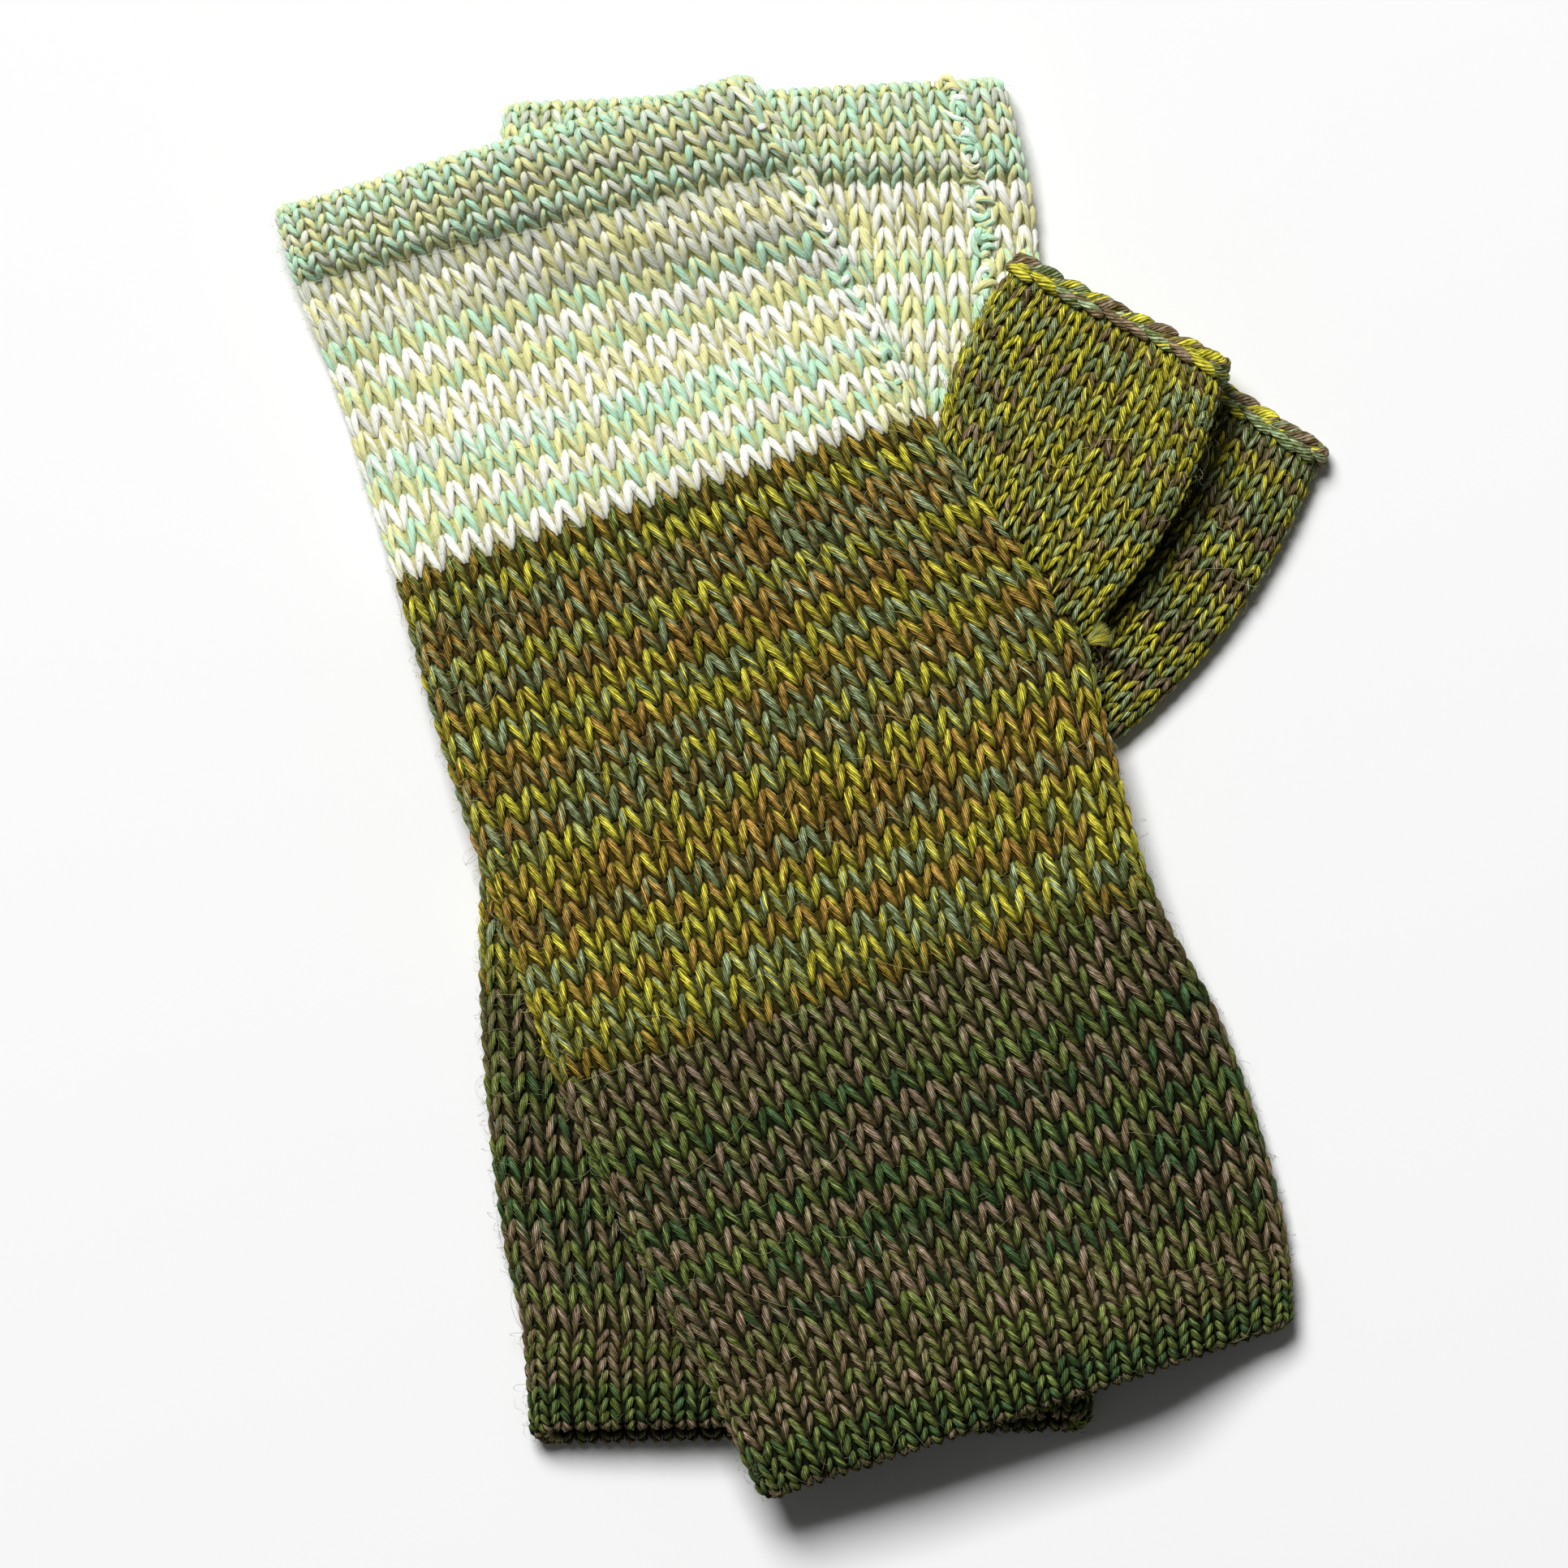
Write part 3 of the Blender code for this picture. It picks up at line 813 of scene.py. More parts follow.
class YarnMesh:
    """Gathers swept strands of yarn into one mesh."""

    def __init__(self, seed: int) -> None:
        """Start an empty mesh.

        Args:
            seed: Seed of the strands' own variation.
        """
        self.random = np.random.default_rng(seed)
        self.parts: dict[str, list[np.ndarray]] = {}
        self.vertices = 0
        self.corners = 0
        self.cells = 0

    def _keep(self, **arrays: np.ndarray) -> None:
        """Add arrays to the lists of their names."""
        for name, array in arrays.items():
            self.parts.setdefault(name, []).append(array)

    def add(self, strands: Strands, sides: int, shared_cell: bool = False) -> None:
        """Sweep strands and add their faces.

        Args:
            strands: The strands.
            sides: Sides round each one.
            shared_cell: Whether all of them share one cell of the bake map.
        """
        count, marks, _ = strands.centres.shape
        if not count:
            return
        rings = marks - 2
        body = strands.rings(sides)[:, 1:-1].reshape(count, rings * sides, 3)
        tips = strands.centres[:, [0, -1]]
        points = np.concatenate([tips, body], axis=1)

        corner, corner_side, corner_mark, sizes = self._template(rings, sides)
        per_strand = 2 + rings * sides
        base = self.vertices + per_strand * np.arange(count)
        steps = np.linalg.norm(np.diff(strands.centres, axis=1), axis=-1) / MM
        way = np.concatenate([np.zeros((count, 1)), np.cumsum(steps, axis=1)], axis=1)
        way = way + self.random.uniform(0, WAY_SPREAD, (count, 1))
        around = np.broadcast_to(corner_side / sides, (count, len(corner)))
        starts = np.concatenate([[0], np.cumsum(sizes)[:-1]])
        cell = np.full(count, self.cells) if shared_cell else self.cells + np.arange(count)
        seed = self.random.uniform(0, 1, count)
        # Painted light and shade: each point's share of light is multiplied into both colours, and
        # blue falls off fastest
        light = np.tile(strands.light(sides), count)[:, None]
        light = np.column_stack([light, light, light**BLUE_LOSS])
        lead = np.repeat(np.column_stack([strands.lead, seed]), per_strand, axis=0)
        partner = np.repeat(strands.partner, per_strand, axis=0)
        lead[:, :3] *= light
        partner[:, :3] *= light
        self._keep(
            points=points.reshape(-1, 3),
            corner=(base[:, None] + corner).ravel(),
            start=(self.corners + len(corner) * np.arange(count)[:, None] + starts).ravel(),
            yarn=np.stack([around, way[:, corner_mark]], axis=-1).reshape(-1, 2),
            local=np.stack(
                [around, np.broadcast_to(corner_mark / (marks - 1), around.shape)], axis=-1
            ).reshape(-1, 2),
            cell=np.repeat(cell, len(corner)),
            lead=lead,
            partner=partner,
        )
        self.vertices += per_strand * count
        self.corners += len(corner) * count
        self.cells += 1 if shared_cell else count

    @staticmethod
    def _template(rings: int, sides: int) -> tuple[np.ndarray, ...]:
        """Number the corners of one strand's faces.

        Args:
            rings: Rings between the tips.
            sides: Points in a ring.

        Returns:
            Each corner's vertex, side and mark along the strand, and each face's corner count.
        """
        corners = []
        sizes = []
        for side in range(sides):
            for mark in range(rings + 1):
                low, high = (mark, side), (mark, side + 1)
                far_high, far_low = (mark + 1, side + 1), (mark + 1, side)
                if mark == 0:
                    face = [low, far_low, far_high]
                elif mark == rings:
                    face = [low, far_low, high]
                else:
                    face = [low, far_low, far_high, high]
                corners += face
                sizes.append(len(face))

        def vertex(mark: int, side: int) -> int:
            """Number a vertex. The tips come first.

            Args:
                mark: Its mark along the strand.
                side: Its side.

            Returns:
                Its number in the strand.
            """
            if mark == 0:
                return 0
            return 1 if mark == rings + 1 else 2 + (mark - 1) * sides + side % sides

        return (
            np.array([vertex(*corner) for corner in corners]),
            np.array([side for _, side in corners], float),
            np.array([mark for mark, _ in corners]),
            np.array(sizes),
        )

    def finish(self, name: str, material: bpy.types.Material) -> bpy.types.Object:
        """Make the mesh and its object.

        Args:
            name: The piece's name.
            material: Its material.

        Returns:
            The piece.
        """
        parts = {key: np.concatenate(arrays) for key, arrays in self.parts.items()}
        mesh = bpy.data.meshes.new(name)
        mesh.vertices.add(len(parts["points"]))
        mesh.loops.add(len(parts["corner"]))
        mesh.polygons.add(len(parts["start"]))
        mesh.vertices.foreach_set("co", parts["points"].ravel())
        mesh.loops.foreach_set("vertex_index", parts["corner"])
        mesh.polygons.foreach_set("loop_start", parts["start"])
        mesh.update(calc_edges=True)
        mesh.shade_smooth()
        grid = math.ceil(math.sqrt(self.cells))
        cell = np.stack([parts["cell"] % grid, parts["cell"] // grid], axis=-1)
        inner = CELL_MARGIN + (1 - 2 * CELL_MARGIN) * parts["local"]
        for layer, values in (
            ("Yarn", parts["yarn"]),
            ("OFBake", (cell + inner) / grid),
        ):
            mesh.uv_layers.new(name=layer).data.foreach_set("uv", values.ravel())
        for layer in ("lead", "partner"):
            made = mesh.color_attributes.new(name=layer, type="FLOAT_COLOR", domain="POINT")
            made.data.foreach_set("color", parts[layer].ravel())
        return add_piece(name, mesh, material)


def add_piece(
    name: str, mesh: bpy.types.Mesh, material: bpy.types.Material
) -> bpy.types.Object:
    """Put a mesh in the scene as a piece.

    Args:
        name: The piece's name.
        mesh: Its mesh.
        material: Its material.

    Returns:
        The piece.
    """
    mesh.materials.append(material)
    piece = bpy.data.objects.new(name, mesh)
    bpy.context.scene.collection.objects.link(piece)
    return piece


def declare(piece: bpy.types.Object, node_name: str) -> None:
    """Ride a piece on the body, in place of a solid.

    Args:
        piece: The piece.
        node_name: The solid that it stands for.
    """
    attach(piece, BODY)
    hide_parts(node_name)


def node(
    tree: bpy.types.NodeTree, kind: str, inputs: Optional[dict] = None, **settings: object
) -> bpy.types.Node:
    """Add a node with its settings and links.

    Args:
        tree: The material's node tree.
        kind: The node's type.
        inputs: Values, or other nodes' sockets, for its inputs.
        settings: The node's own settings.

    Returns:
        The node.
    """
    made = tree.nodes.new(kind)
    for name, value in settings.items():
        setattr(made, name, value)
    for key, value in (inputs or {}).items():
        if isinstance(value, bpy.types.NodeSocket):
            tree.links.new(value, made.inputs[key])
        else:
            made.inputs[key].default_value = value
    return made


def empty_material(name: str) -> tuple[bpy.types.Material, bpy.types.NodeTree]:
    """Start a material.

    Args:
        name: The material's name.

    Returns:
        The material, and its node tree with nothing in it.
    """
    made = bpy.data.materials.new(name)
    made.use_nodes = True
    made.node_tree.nodes.clear()
    return made, made.node_tree


# The partner's share that marks a loose fibre, which has no plies
LOOSE = -1.0


@dataclass(frozen=True)
class PliedWool:
    """Worsted wool, spun loosely in several plies and twisted: matt, streaky and soft.

    The plies lie round each leg of a stitch like the threads of a screw. The eye sees them as
    fine slanting lines with a dark groove between, and a bloom of fibres at the edges. The groove
    is a bump with painted shade in it, and each ply's ridge has a painted highlight.
    Single fibres are too fine to show, so the streaks are drawn as coarse as bundles of them.

    Each scale is for across and along the plies, and each range is where noise turns to light.
    """

    name: str
    plies: int = 9
    twist_pitch: float = 10.0
    ply_relief: float = 0.20
    groove_shade: float = 0.55
    uneven: float = 0.50
    strokes: float = 0.70
    fibres: float = 0.45
    shade_warmth: float = 0.8
    roughness: float = 0.95
    gloss: float = 0.05
    sheen: float = 0.03
    sheen_roughness: float = 0.5
    seed_spread: float = 97.0
    wander: float = 0.3
    stroke_scale: tuple[float, float] = (1.3, 0.55)
    stroke_range: tuple[float, float] = (0.3, 0.7)
    stroke_relief: float = 0.8
    fibre_scale: tuple[float, float] = (5.0, 1.6)
    fibre_range: tuple[float, float] = (0.25, 0.75)
    fibre_relief: float = 0.6
    ridge_light: float = 1.06

    def material(self) -> bpy.types.Material:
        """Build the node material from the strands' own coordinates and colours.

        Returns:
            The material.
        """
        made, tree = empty_material(self.name)

        def calc(operation: str, *values: object) -> bpy.types.NodeSocket:
            """The result of a sum on values or sockets."""
            made = node(tree, "ShaderNodeMath", dict(enumerate(values)), operation=operation)
            return made.outputs[0]

        def around_one(
            value: bpy.types.NodeSocket, ends: tuple[float, float], by: float
        ) -> bpy.types.NodeSocket:
            """A factor of about 1 that follows a value, less or more by a share."""
            ends = {"From Min": ends[0], "From Max": ends[1], "To Min": 1 - by, "To Max": 1 + by}
            return node(tree, "ShaderNodeMapRange", {"Value": value, **ends}).outputs[0]

        def noise(x: object, y: object, z: object, detail: float) -> bpy.types.NodeSocket:
            """Read noise at a place.

            Args:
                x: The place's x, a value or a socket.
                y: Its y.
                z: Its z.
                detail: Layers of finer noise.

            Returns:
                The noise.
            """
            place = node(tree, "ShaderNodeCombineXYZ", {0: x, 1: y, 2: z}).outputs[0]
            inputs = {"Vector": place, "Scale": 1.0, "Detail": detail}
            return node(tree, "ShaderNodeTexNoise", inputs).outputs[0]

        def streaks(scale: tuple[float, float], detail: float) -> bpy.types.NodeSocket:
            """Noise drawn out along the plies."""
            places = [calc("MULTIPLY", way, size) for way, size in zip((screw, along), scale)]
            return noise(*places, seed, detail)

        lead = node(tree, "ShaderNodeAttribute", attribute_name="lead")
        partner = node(tree, "ShaderNodeAttribute", attribute_name="partner")
        place = node(tree, "ShaderNodeUVMap", uv_map="Yarn").outputs[0]
        place = node(tree, "ShaderNodeSeparateXYZ", {0: place})
        turn, along = place.outputs[0], place.outputs[1]
        seed = calc("MULTIPLY", lead.outputs["Alpha"], self.seed_spread)

        # The plies' screw, a little uneven along the yarn
        wander = noise(calc("MULTIPLY", along, self.wander), seed, 0.0, 0.0)
        screw = calc("MULTIPLY_ADD", along, -self.plies / self.twist_pitch, wander)
        screw = calc("MULTIPLY_ADD", turn, float(self.plies), screw)
        ply = calc("FLOORED_MODULO", calc("FLOOR", screw), float(self.plies))
        share = calc("FRACT", screw)
        # An arch over each ply, 1 at its top
        arch = calc("MULTIPLY", calc("MULTIPLY", share, calc("SUBTRACT", 1.0, share)), 4.0)
        plied = calc("GREATER_THAN", partner.outputs["Alpha"], LOOSE / 2)

        # Each ply takes one of the two colours, and its own depth of dye
        key = node(tree, "ShaderNodeCombineXYZ", {0: ply, 1: seed}).outputs[0]
        drawn = node(tree, "ShaderNodeTexWhiteNoise", {"Vector": key}, noise_dimensions="3D")
        other = calc("LESS_THAN", drawn.outputs["Value"], partner.outputs["Alpha"])
        mixed = {"Factor": other, 6: lead.outputs["Color"], 7: partner.outputs["Color"]}
        colour = node(tree, "ShaderNodeMix", mixed, data_type="RGBA").outputs[2]
        own = node(tree, "ShaderNodeSeparateColor", {0: drawn.outputs["Color"]}).outputs[1]

        # Strokes of painted light and shade along the plies, and finer fibres in them
        stroke = streaks(self.stroke_scale, 1.0)
        fibre = streaks(self.fibre_scale, 2.0)
        tone = calc(
            "MULTIPLY",
            around_one(stroke, self.stroke_range, self.strokes),
            around_one(fibre, self.fibre_range, self.fibres),
        )
        tone = calc("MULTIPLY", tone, around_one(own, (0.0, 1.0), self.uneven))
        # Painted shade in the groove between plies, and a painted highlight on each ridge
        groove = {"Value": arch, "To Min": 1 - self.groove_shade, "To Max": self.ridge_light}
        groove = node(tree, "ShaderNodeMapRange", groove).outputs[0]
        tone = calc("MULTIPLY", tone, groove)
        tone = calc("POWER", tone, plied)
        # Where the tone is below 1, blue falls off faster, so the painted shade comes out warm
        shaded = calc("POWER", calc("MINIMUM", tone, 1.0), self.shade_warmth)
        warm = {0: tone, 1: tone, 2: calc("MULTIPLY", tone, shaded)}
        warm = node(tree, "ShaderNodeCombineXYZ", warm).outputs[0]
        tinted = {0: colour, 1: warm}
        colour = node(tree, "ShaderNodeVectorMath", tinted, operation="MULTIPLY").outputs[0]
        height = calc("MULTIPLY_ADD", stroke, self.stroke_relief, arch)
        height = calc("MULTIPLY_ADD", fibre, self.fibre_relief, height)
        height = calc("MULTIPLY", height, plied)
        relief = {"Height": height, "Distance": self.ply_relief * MM, "Strength": 1.0}
        bump = node(tree, "ShaderNodeBump", relief)
        finish = {
            "Base Color": colour,
            "Roughness": self.roughness,
            "Specular IOR Level": self.gloss,
            "Sheen Weight": self.sheen,
            "Sheen Roughness": self.sheen_roughness,
            "Normal": bump.outputs[0],
        }
        shader = node(tree, "ShaderNodeBsdfPrincipled", finish)
        node(tree, "ShaderNodeOutputMaterial", {0: shader.outputs[0]})
        return made


@dataclass(frozen=True)
class KnitBacking:
    """The loops behind the stitches: the same wool darkened as painted shade, with a coarse
    pebbled surface.
    """

    name: str
    # Depth is the share of the wool's colour that is left: painted shade of the holes between the
    # stitches
    depth: float = 0.10
    loop_size: float = 2.2
    relief: float = 0.5
    grains: float = 4.0
    uneven: float = 0.5
    roughness: float = 0.95
    gloss: float = 0.1

    def material(self) -> bpy.types.Material:
        """Build the node material from the piece's own coordinates.

        Returns:
            The material.
        """
        made, tree = empty_material(self.name)
        place = node(tree, "ShaderNodeTexCoord").outputs["Object"]
        scale = 1 / (self.loop_size * MM)
        loops = node(tree, "ShaderNodeTexVoronoi", {"Vector": place, "Scale": scale})
        grain = {"Vector": place, "Scale": self.grains / (self.loop_size * MM)}
        grain = node(tree, "ShaderNodeTexNoise", grain).outputs[0]
        low, high = (1 - self.uneven) * self.depth, (1 + self.uneven) * self.depth
        shade = {"Value": grain, "To Min": low, "To Max": high}
        shade = node(tree, "ShaderNodeMapRange", shade).outputs[0]
        wool = node(tree, "ShaderNodeAttribute", attribute_name="lead").outputs["Color"]
        shaded = {0: wool, "Scale": shade}
        colour = node(tree, "ShaderNodeVectorMath", shaded, operation="SCALE")
        bump = {"Height": loops.outputs[0], "Distance": self.relief * MM}
        finish = {
            "Base Color": colour.outputs[0],
            "Roughness": self.roughness,
            "Specular IOR Level": self.gloss,
            "Normal": node(tree, "ShaderNodeBump", bump).outputs[0],
        }
        shader = node(tree, "ShaderNodeBsdfPrincipled", finish)
        node(tree, "ShaderNodeOutputMaterial", {0: shader.outputs[0]})
        return made


# The pale wool is spun smoother, and passes light on, so its plies hardly show
PALE_WOOL = PliedWool(
    "pale_wool",
    plies=6,
    ply_relief=0.06,
    groove_shade=0.06,
    uneven=0.06,
    strokes=0.10,
    fibres=0.10,
    shade_warmth=0.25,
    sheen=0.40,
)


class Wools:
    """The finishes by the record's slots."""

    def __init__(self) -> None:
        """Make each slot's yarn and backing materials."""
        self.yarn = {
            "pale_wool": PALE_WOOL.material(),
            "olive_wool": PliedWool("olive_wool").material(),
            "dark_wool": PliedWool("dark_wool").material(),
            "thumb_wool": PliedWool("thumb_wool", plies=7, twist_pitch=7.0).material(),
        }
        # Each backing darkens its wool by its depth, as painted shade
        self.backing = {
            "pale_wool": KnitBacking("pale_wool_backing", depth=0.62).material(),
            "olive_wool": KnitBacking("olive_wool_backing").material(),
            "dark_wool": KnitBacking("dark_wool_backing", depth=0.06).material(),
            "thumb_wool": KnitBacking("thumb_wool_backing", depth=0.22).material(),
        }


@dataclass(frozen=True)
class LegShape:
    """One leg of a stocking stitch, from its tip at the V's foot to its upper end.

    Lengths are in millimetres, and those along the leg are shares of the row's height. The curve
    is how far it bends like an S. The light painted on its sides, as a share, and the shades along
    it are painted shade at the tips and sides, and a painted highlight where the shades pass 1.
    """

    foot: float = -0.26
    head: float = 1.36
    foot_across: float = 0.24
    head_inset: float = 0.36
    half_width: float = 0.75
    curve: float = 0.12
    flank_shade: float = 0.34
    marks: tuple[float, ...] = (0.0, 0.10, 0.28, 0.50, 0.72, 0.90, 1.0)
    widths: tuple[float, ...] = (0.0, 0.52, 0.84, 1.00, 0.98, 0.66, 0.0)
    depths: tuple[float, ...] = (1.45, 1.16, 0.74, 0.54, 0.54, 0.82, 1.30)
    shades: tuple[float, ...] = (0.14, 0.30, 0.76, 1.14, 1.29, 1.11, 0.50)


FULL_LEG = LegShape()
THUMB_LEG = LegShape(
    half_width=0.74,
    widths=(0.0, 0.66, 0.90, 1.00, 0.98, 0.80, 0.0),
    shades=(0.20, 0.42, 0.80, 1.00, 1.08, 0.95, 0.50),
)
PLAIN_LEG = LegShape(
    marks=(0.0, 0.16, 0.5, 0.84, 1.0),
    widths=(0.0, 0.66, 1.0, 0.84, 0.0),
    depths=(1.45, 1.00, 0.54, 0.74, 1.30),
    shades=(0.20, 0.55, 1.00, 1.02, 0.60),
)


@dataclass(frozen=True)
class HandWork:
    """How uneven hand work is: each measure's spread from leg to leg.

    Those from path to depth are in millimetres, and the others are shares.
    """

    path: float = 0.04
    shift: float = 0.07
    lean: float = 0.10
    rise: float = 0.09
    depth: float = 0.04
    width: float = 0.06
    thickness: float = 0.05
    dye: float = 0.09


HAND = HandWork()

# Legs are finer in low rows and narrow stitches: a least share, and what a millimetre adds
ROW_FINENESS = (0.62, 0.1)
GAUGE_FINENESS = (0.64, 0.09)

# How the marl changes along a row, in stitches and in shares
DRIFT_RUN = 5.0
DRIFT_RANGE = (-0.15, 1.15)
DRIFT_NOISE = 0.08
SWAP_BLEND = 0.3
MARL_RANGE = (0.03, 0.97)
STRAND_MARL_SPREAD = 0.12
STRAND_MARL_RANGE = (0.05, 0.95)

# The stretch of turn that faces the ground, and the sides of legs above and below it
UNDERSIDE = (0.54, 0.96)
SHOWN_SIDES = 5
HIDDEN_SIDES = 4


def drift(random: np.random.Generator, rows: int, wales: int) -> np.ndarray:
    """Draw a value that changes slowly along each row and closes round the tube.

    Args:
        random: The source of chance.
        rows: Number of rows.
        wales: Stitches in a row.

    Returns:
        Values from 0 to 1, by row and stitch.
    """
    knots = max(3, round(wales / DRIFT_RUN))
    values = random.uniform(*DRIFT_RANGE, (rows, knots))
    place = np.arange(wales) * knots / wales
    i = place.astype(int)
    t = smooth(place - i)
    drawn = values[:, i] * (1 - t) + values[:, (i + 1) % knots] * t
    return np.clip(drawn + random.uniform(-DRIFT_NOISE, DRIFT_NOISE, drawn.shape), 0, 1)


@dataclass(frozen=True)
class KnitPatch:
    """A stretch of stocking stitch on some cloth.

    Attributes:
        cloth: What it is knitted on.
        wales: Stitches round.
        first: Run at the first row's upper edge.
        pitch: Height of a row.
        rows: The rows' yarns, from the first.
        seed: Seed of the unevenness of hand work.
        stray: How much the twisted-in colour's share differs from stitch to stitch.
        hollow: How dark the painted shade in the hollows is.
        plain_ends: Runs beyond which the cloth is turned in and stitches are simpler.
    """

    cloth: Surface
    wales: int
    first: float
    pitch: float
    rows: tuple[RowYarn, ...]
    seed: int
    stray: float
    hollow: float
    plain_ends: tuple[float, float] = (-HEM_SHOWN, math.inf)

    def colours(self, random: np.random.Generator) -> tuple[np.ndarray, np.ndarray]:
        """Choose each leg's colours.

        Args:
            random: The source of chance.

        Returns:
            The lead colour, and the partner's with its share, by row, stitch and leg.
        """
        count = len(self.rows)
        lead = np.array([linear(row.lead.value) for row in self.rows])[:, None, None]
        other = np.array([linear(row.partner.value) for row in self.rows])[:, None, None]
        swapped = np.array([row.swapped for row in self.rows])[:, None]
        flecks = np.array([row.flecks for row in self.rows])[:, None]
        swap = smooth((swapped - drift(random, count, self.wales)) / SWAP_BLEND + 0.5)
        share = (flecks + (1 - 2 * flecks) * swap)[..., None]
        share = share + random.normal(0, self.stray, (count, self.wales, 2))
        share = np.clip(share, *MARL_RANGE)
        shape = (count, self.wales, 2, 3)
        partner = np.concatenate([np.broadcast_to(other, shape), share[..., None]], axis=-1)
        return np.broadcast_to(lead, shape), partner

    def legs(self, shape: LegShape, wanted: np.ndarray, seed: int) -> Strands:
        """Lay out the legs of chosen stitches.

        Args:
            shape: The leg's form.
            wanted: Which stitches, by row and wale.
            seed: Seed of the legs' unevenness.

        Returns:
            The strands.
        """
        random = np.random.default_rng(seed)
        lead, partner = self.colours(np.random.default_rng(self.seed))
        row, wale = (np.repeat(index, 2) for index in np.nonzero(wanted))
        leg = np.tile([0, 1], len(row) // 2)
        side = 2.0 * leg - 1
        each = (len(row), 1)
        t = np.array(shape.marks)
        by_mark = (len(row), len(t))
        girth = self.cloth.girth(self.first + self.pitch * (row + 0.5))
        gauge = (girth / self.wales)[:, None]
        fine = min(1.0, ROW_FINENESS[0] + ROW_FINENESS[1] * self.pitch)
        fine *= min(1.0, GAUGE_FINENESS[0] + GAUGE_FINENESS[1] * float(gauge.mean()))
        spread = t - shape.curve * np.sin(2 * np.pi * t) / (2 * np.pi)
        foot, inset = shape.foot_across * fine, shape.head_inset * fine
        across = foot + (gauge / 2 - inset - foot) * spread
        across = across + random.normal(0, HAND.path, by_mark)
        across = across * side[:, None] + random.normal(0, HAND.shift, each)
        across = across + random.normal(0, HAND.lean, each) * (t - 0.5)
        rise = shape.foot + (shape.head - shape.foot) * t
        rise = rise * self.pitch + random.normal(0, HAND.rise, each)
        turn = (wale[:, None] + 0.5 + across / gauge) / self.wales
        run = self.first + self.pitch * (row[:, None] + 1) - rise
        out = -np.array(shape.depths) + random.normal(0, HAND.depth, each)
        widths = shape.half_width * fine * np.array(shape.widths)
        widths = widths * random.normal(1, HAND.width, each)
        widths = widths * random.normal(1, HAND.thickness, by_mark)
        bright = random.normal(1, HAND.dye, each)
        return lay_out(
            self.cloth,
            (turn, run, out),
            widths,
            (lead[row, wale, leg] * bright, partner[row, wale, leg]),
            shades=shape.shades,
            side_shade=shape.flank_shade,
            hollow=self.hollow,
        )

    def add_to(
        self,
        mesh: YarnMesh,
        wanted: Optional[np.ndarray] = None,
        shape: LegShape = FULL_LEG,
    ) -> None:
        """Add the patch's stitches to a mesh, more simply where they face the ground.

        Args:
            mesh: The mesh.
            wanted: Which stitches, by row and wale, or all.
            shape: The form of the legs that show.
        """
        count = len(self.rows)
        if wanted is None:
            wanted = np.ones((count, self.wales), bool)
        middle = (np.arange(self.wales) + 0.5) / self.wales
        run = self.first + self.pitch * (np.arange(count)[:, None] + 0.5)
        below = (middle > UNDERSIDE[0]) & (middle < UNDERSIDE[1])
        below = below | (run < self.plain_ends[0]) | (run > self.plain_ends[1])
        mesh.add(self.legs(shape, wanted & ~below, self.seed + Seed.STRANDS), SHOWN_SIDES)
        plain_seed = self.seed + Seed.PLAIN_STRANDS
        mesh.add(self.legs(PLAIN_LEG, wanted & below, plain_seed), HIDDEN_SIDES)


@dataclass(frozen=True)
class ClothWall:
    """A thin closed wall behind the stitches, along some stretch of cloth."""

    cloth: Surface
    start: float
    end: Union[float, Callable[[np.ndarray], np.ndarray]]
    rows: tuple[RowYarn, ...]
    near: float = 1.25
    far: float = 2.2
    step: float = 3.0
    columns: int = 96
    lead_share: float = 0.65
    # Less blue, so that the wall's painted shade is warm
    shade_tint: tuple[float, float, float] = (1.0, 0.95, 0.6)

    def shades(self, run: np.ndarray, first: float, pitch: float) -> np.ndarray:
        """Mix each row's colours, tinted yellower than the yarn that lies in the light: painted
        warm shade.

        Args:
            run: Runs along the cloth.
            first: Run at the first row's upper edge.
            pitch: Height of a row.

        Returns:
            The colour at each run.
        """
        lead = np.array([linear(row.lead.value) for row in self.rows])
        partner = np.array([linear(row.partner.value) for row in self.rows])
        known = self.lead_share * lead + (1 - self.lead_share) * partner
        row = np.floor((run - first) / pitch).astype(int) % len(known)
        return known[row] * self.shade_tint

    def build(
        self, name: str, material: bpy.types.Material, first: float, pitch: float
    ) -> bpy.types.Object:
        """Make the wall as a piece.

        Args:
            name: The piece's name.
            material: Its material.
            first: Run at the first row's upper edge.
            pitch: Height of a row.

        Returns:
            The piece.
        """
        around = np.arange(self.columns) / self.columns
        end = self.end(around) if callable(self.end) else np.full(self.columns, self.end)
        rows = max(2, math.ceil(np.abs(end - self.start).max() / self.step)) + 1
        run = np.linspace(np.full(self.columns, self.start), end, rows)
        turn = np.broadcast_to(around, run.shape)
        depths = (self.near, self.far)
        layers = [self.cloth.at(turn, run, -depth).reshape(-1, 3) for depth in depths]
        count = rows * self.columns

        def vertex(layer: int, i: int, j: int) -> int:
            """The vertex of a layer at a row and column."""
            return layer * count + i * self.columns + j % self.columns

        faces = []
        for j in range(self.columns):
            for i in range(rows - 1):
                square = ((i, j), (i, j + 1), (i + 1, j + 1), (i + 1, j))
                faces.append([vertex(0, *corner) for corner in square])
                faces.append([vertex(1, *corner) for corner in reversed(square)])
            for i, way in ((0, 1), (rows - 1, -1)):
                corners = ((0, i, j), (1, i, j), (1, i, j + 1), (0, i, j + 1))
                faces.append([vertex(*corner) for corner in corners][::way])
        mesh = bpy.data.meshes.new(name)
        mesh.from_pydata(np.concatenate(layers).tolist(), [], faces)
        shades = np.tile(self.shades(run, first, pitch).reshape(-1, 3), (2, 1))
        made = mesh.color_attributes.new(name="lead", type="FLOAT_COLOR", domain="POINT")
        made.data.foreach_set("color", np.column_stack([shades, np.ones(2 * count)]).ravel())
        mesh.shade_smooth()
        piece = add_piece(name, mesh, material)
        if signed_volume(mesh) < 0:
            mesh.flip_normals()
        return piece


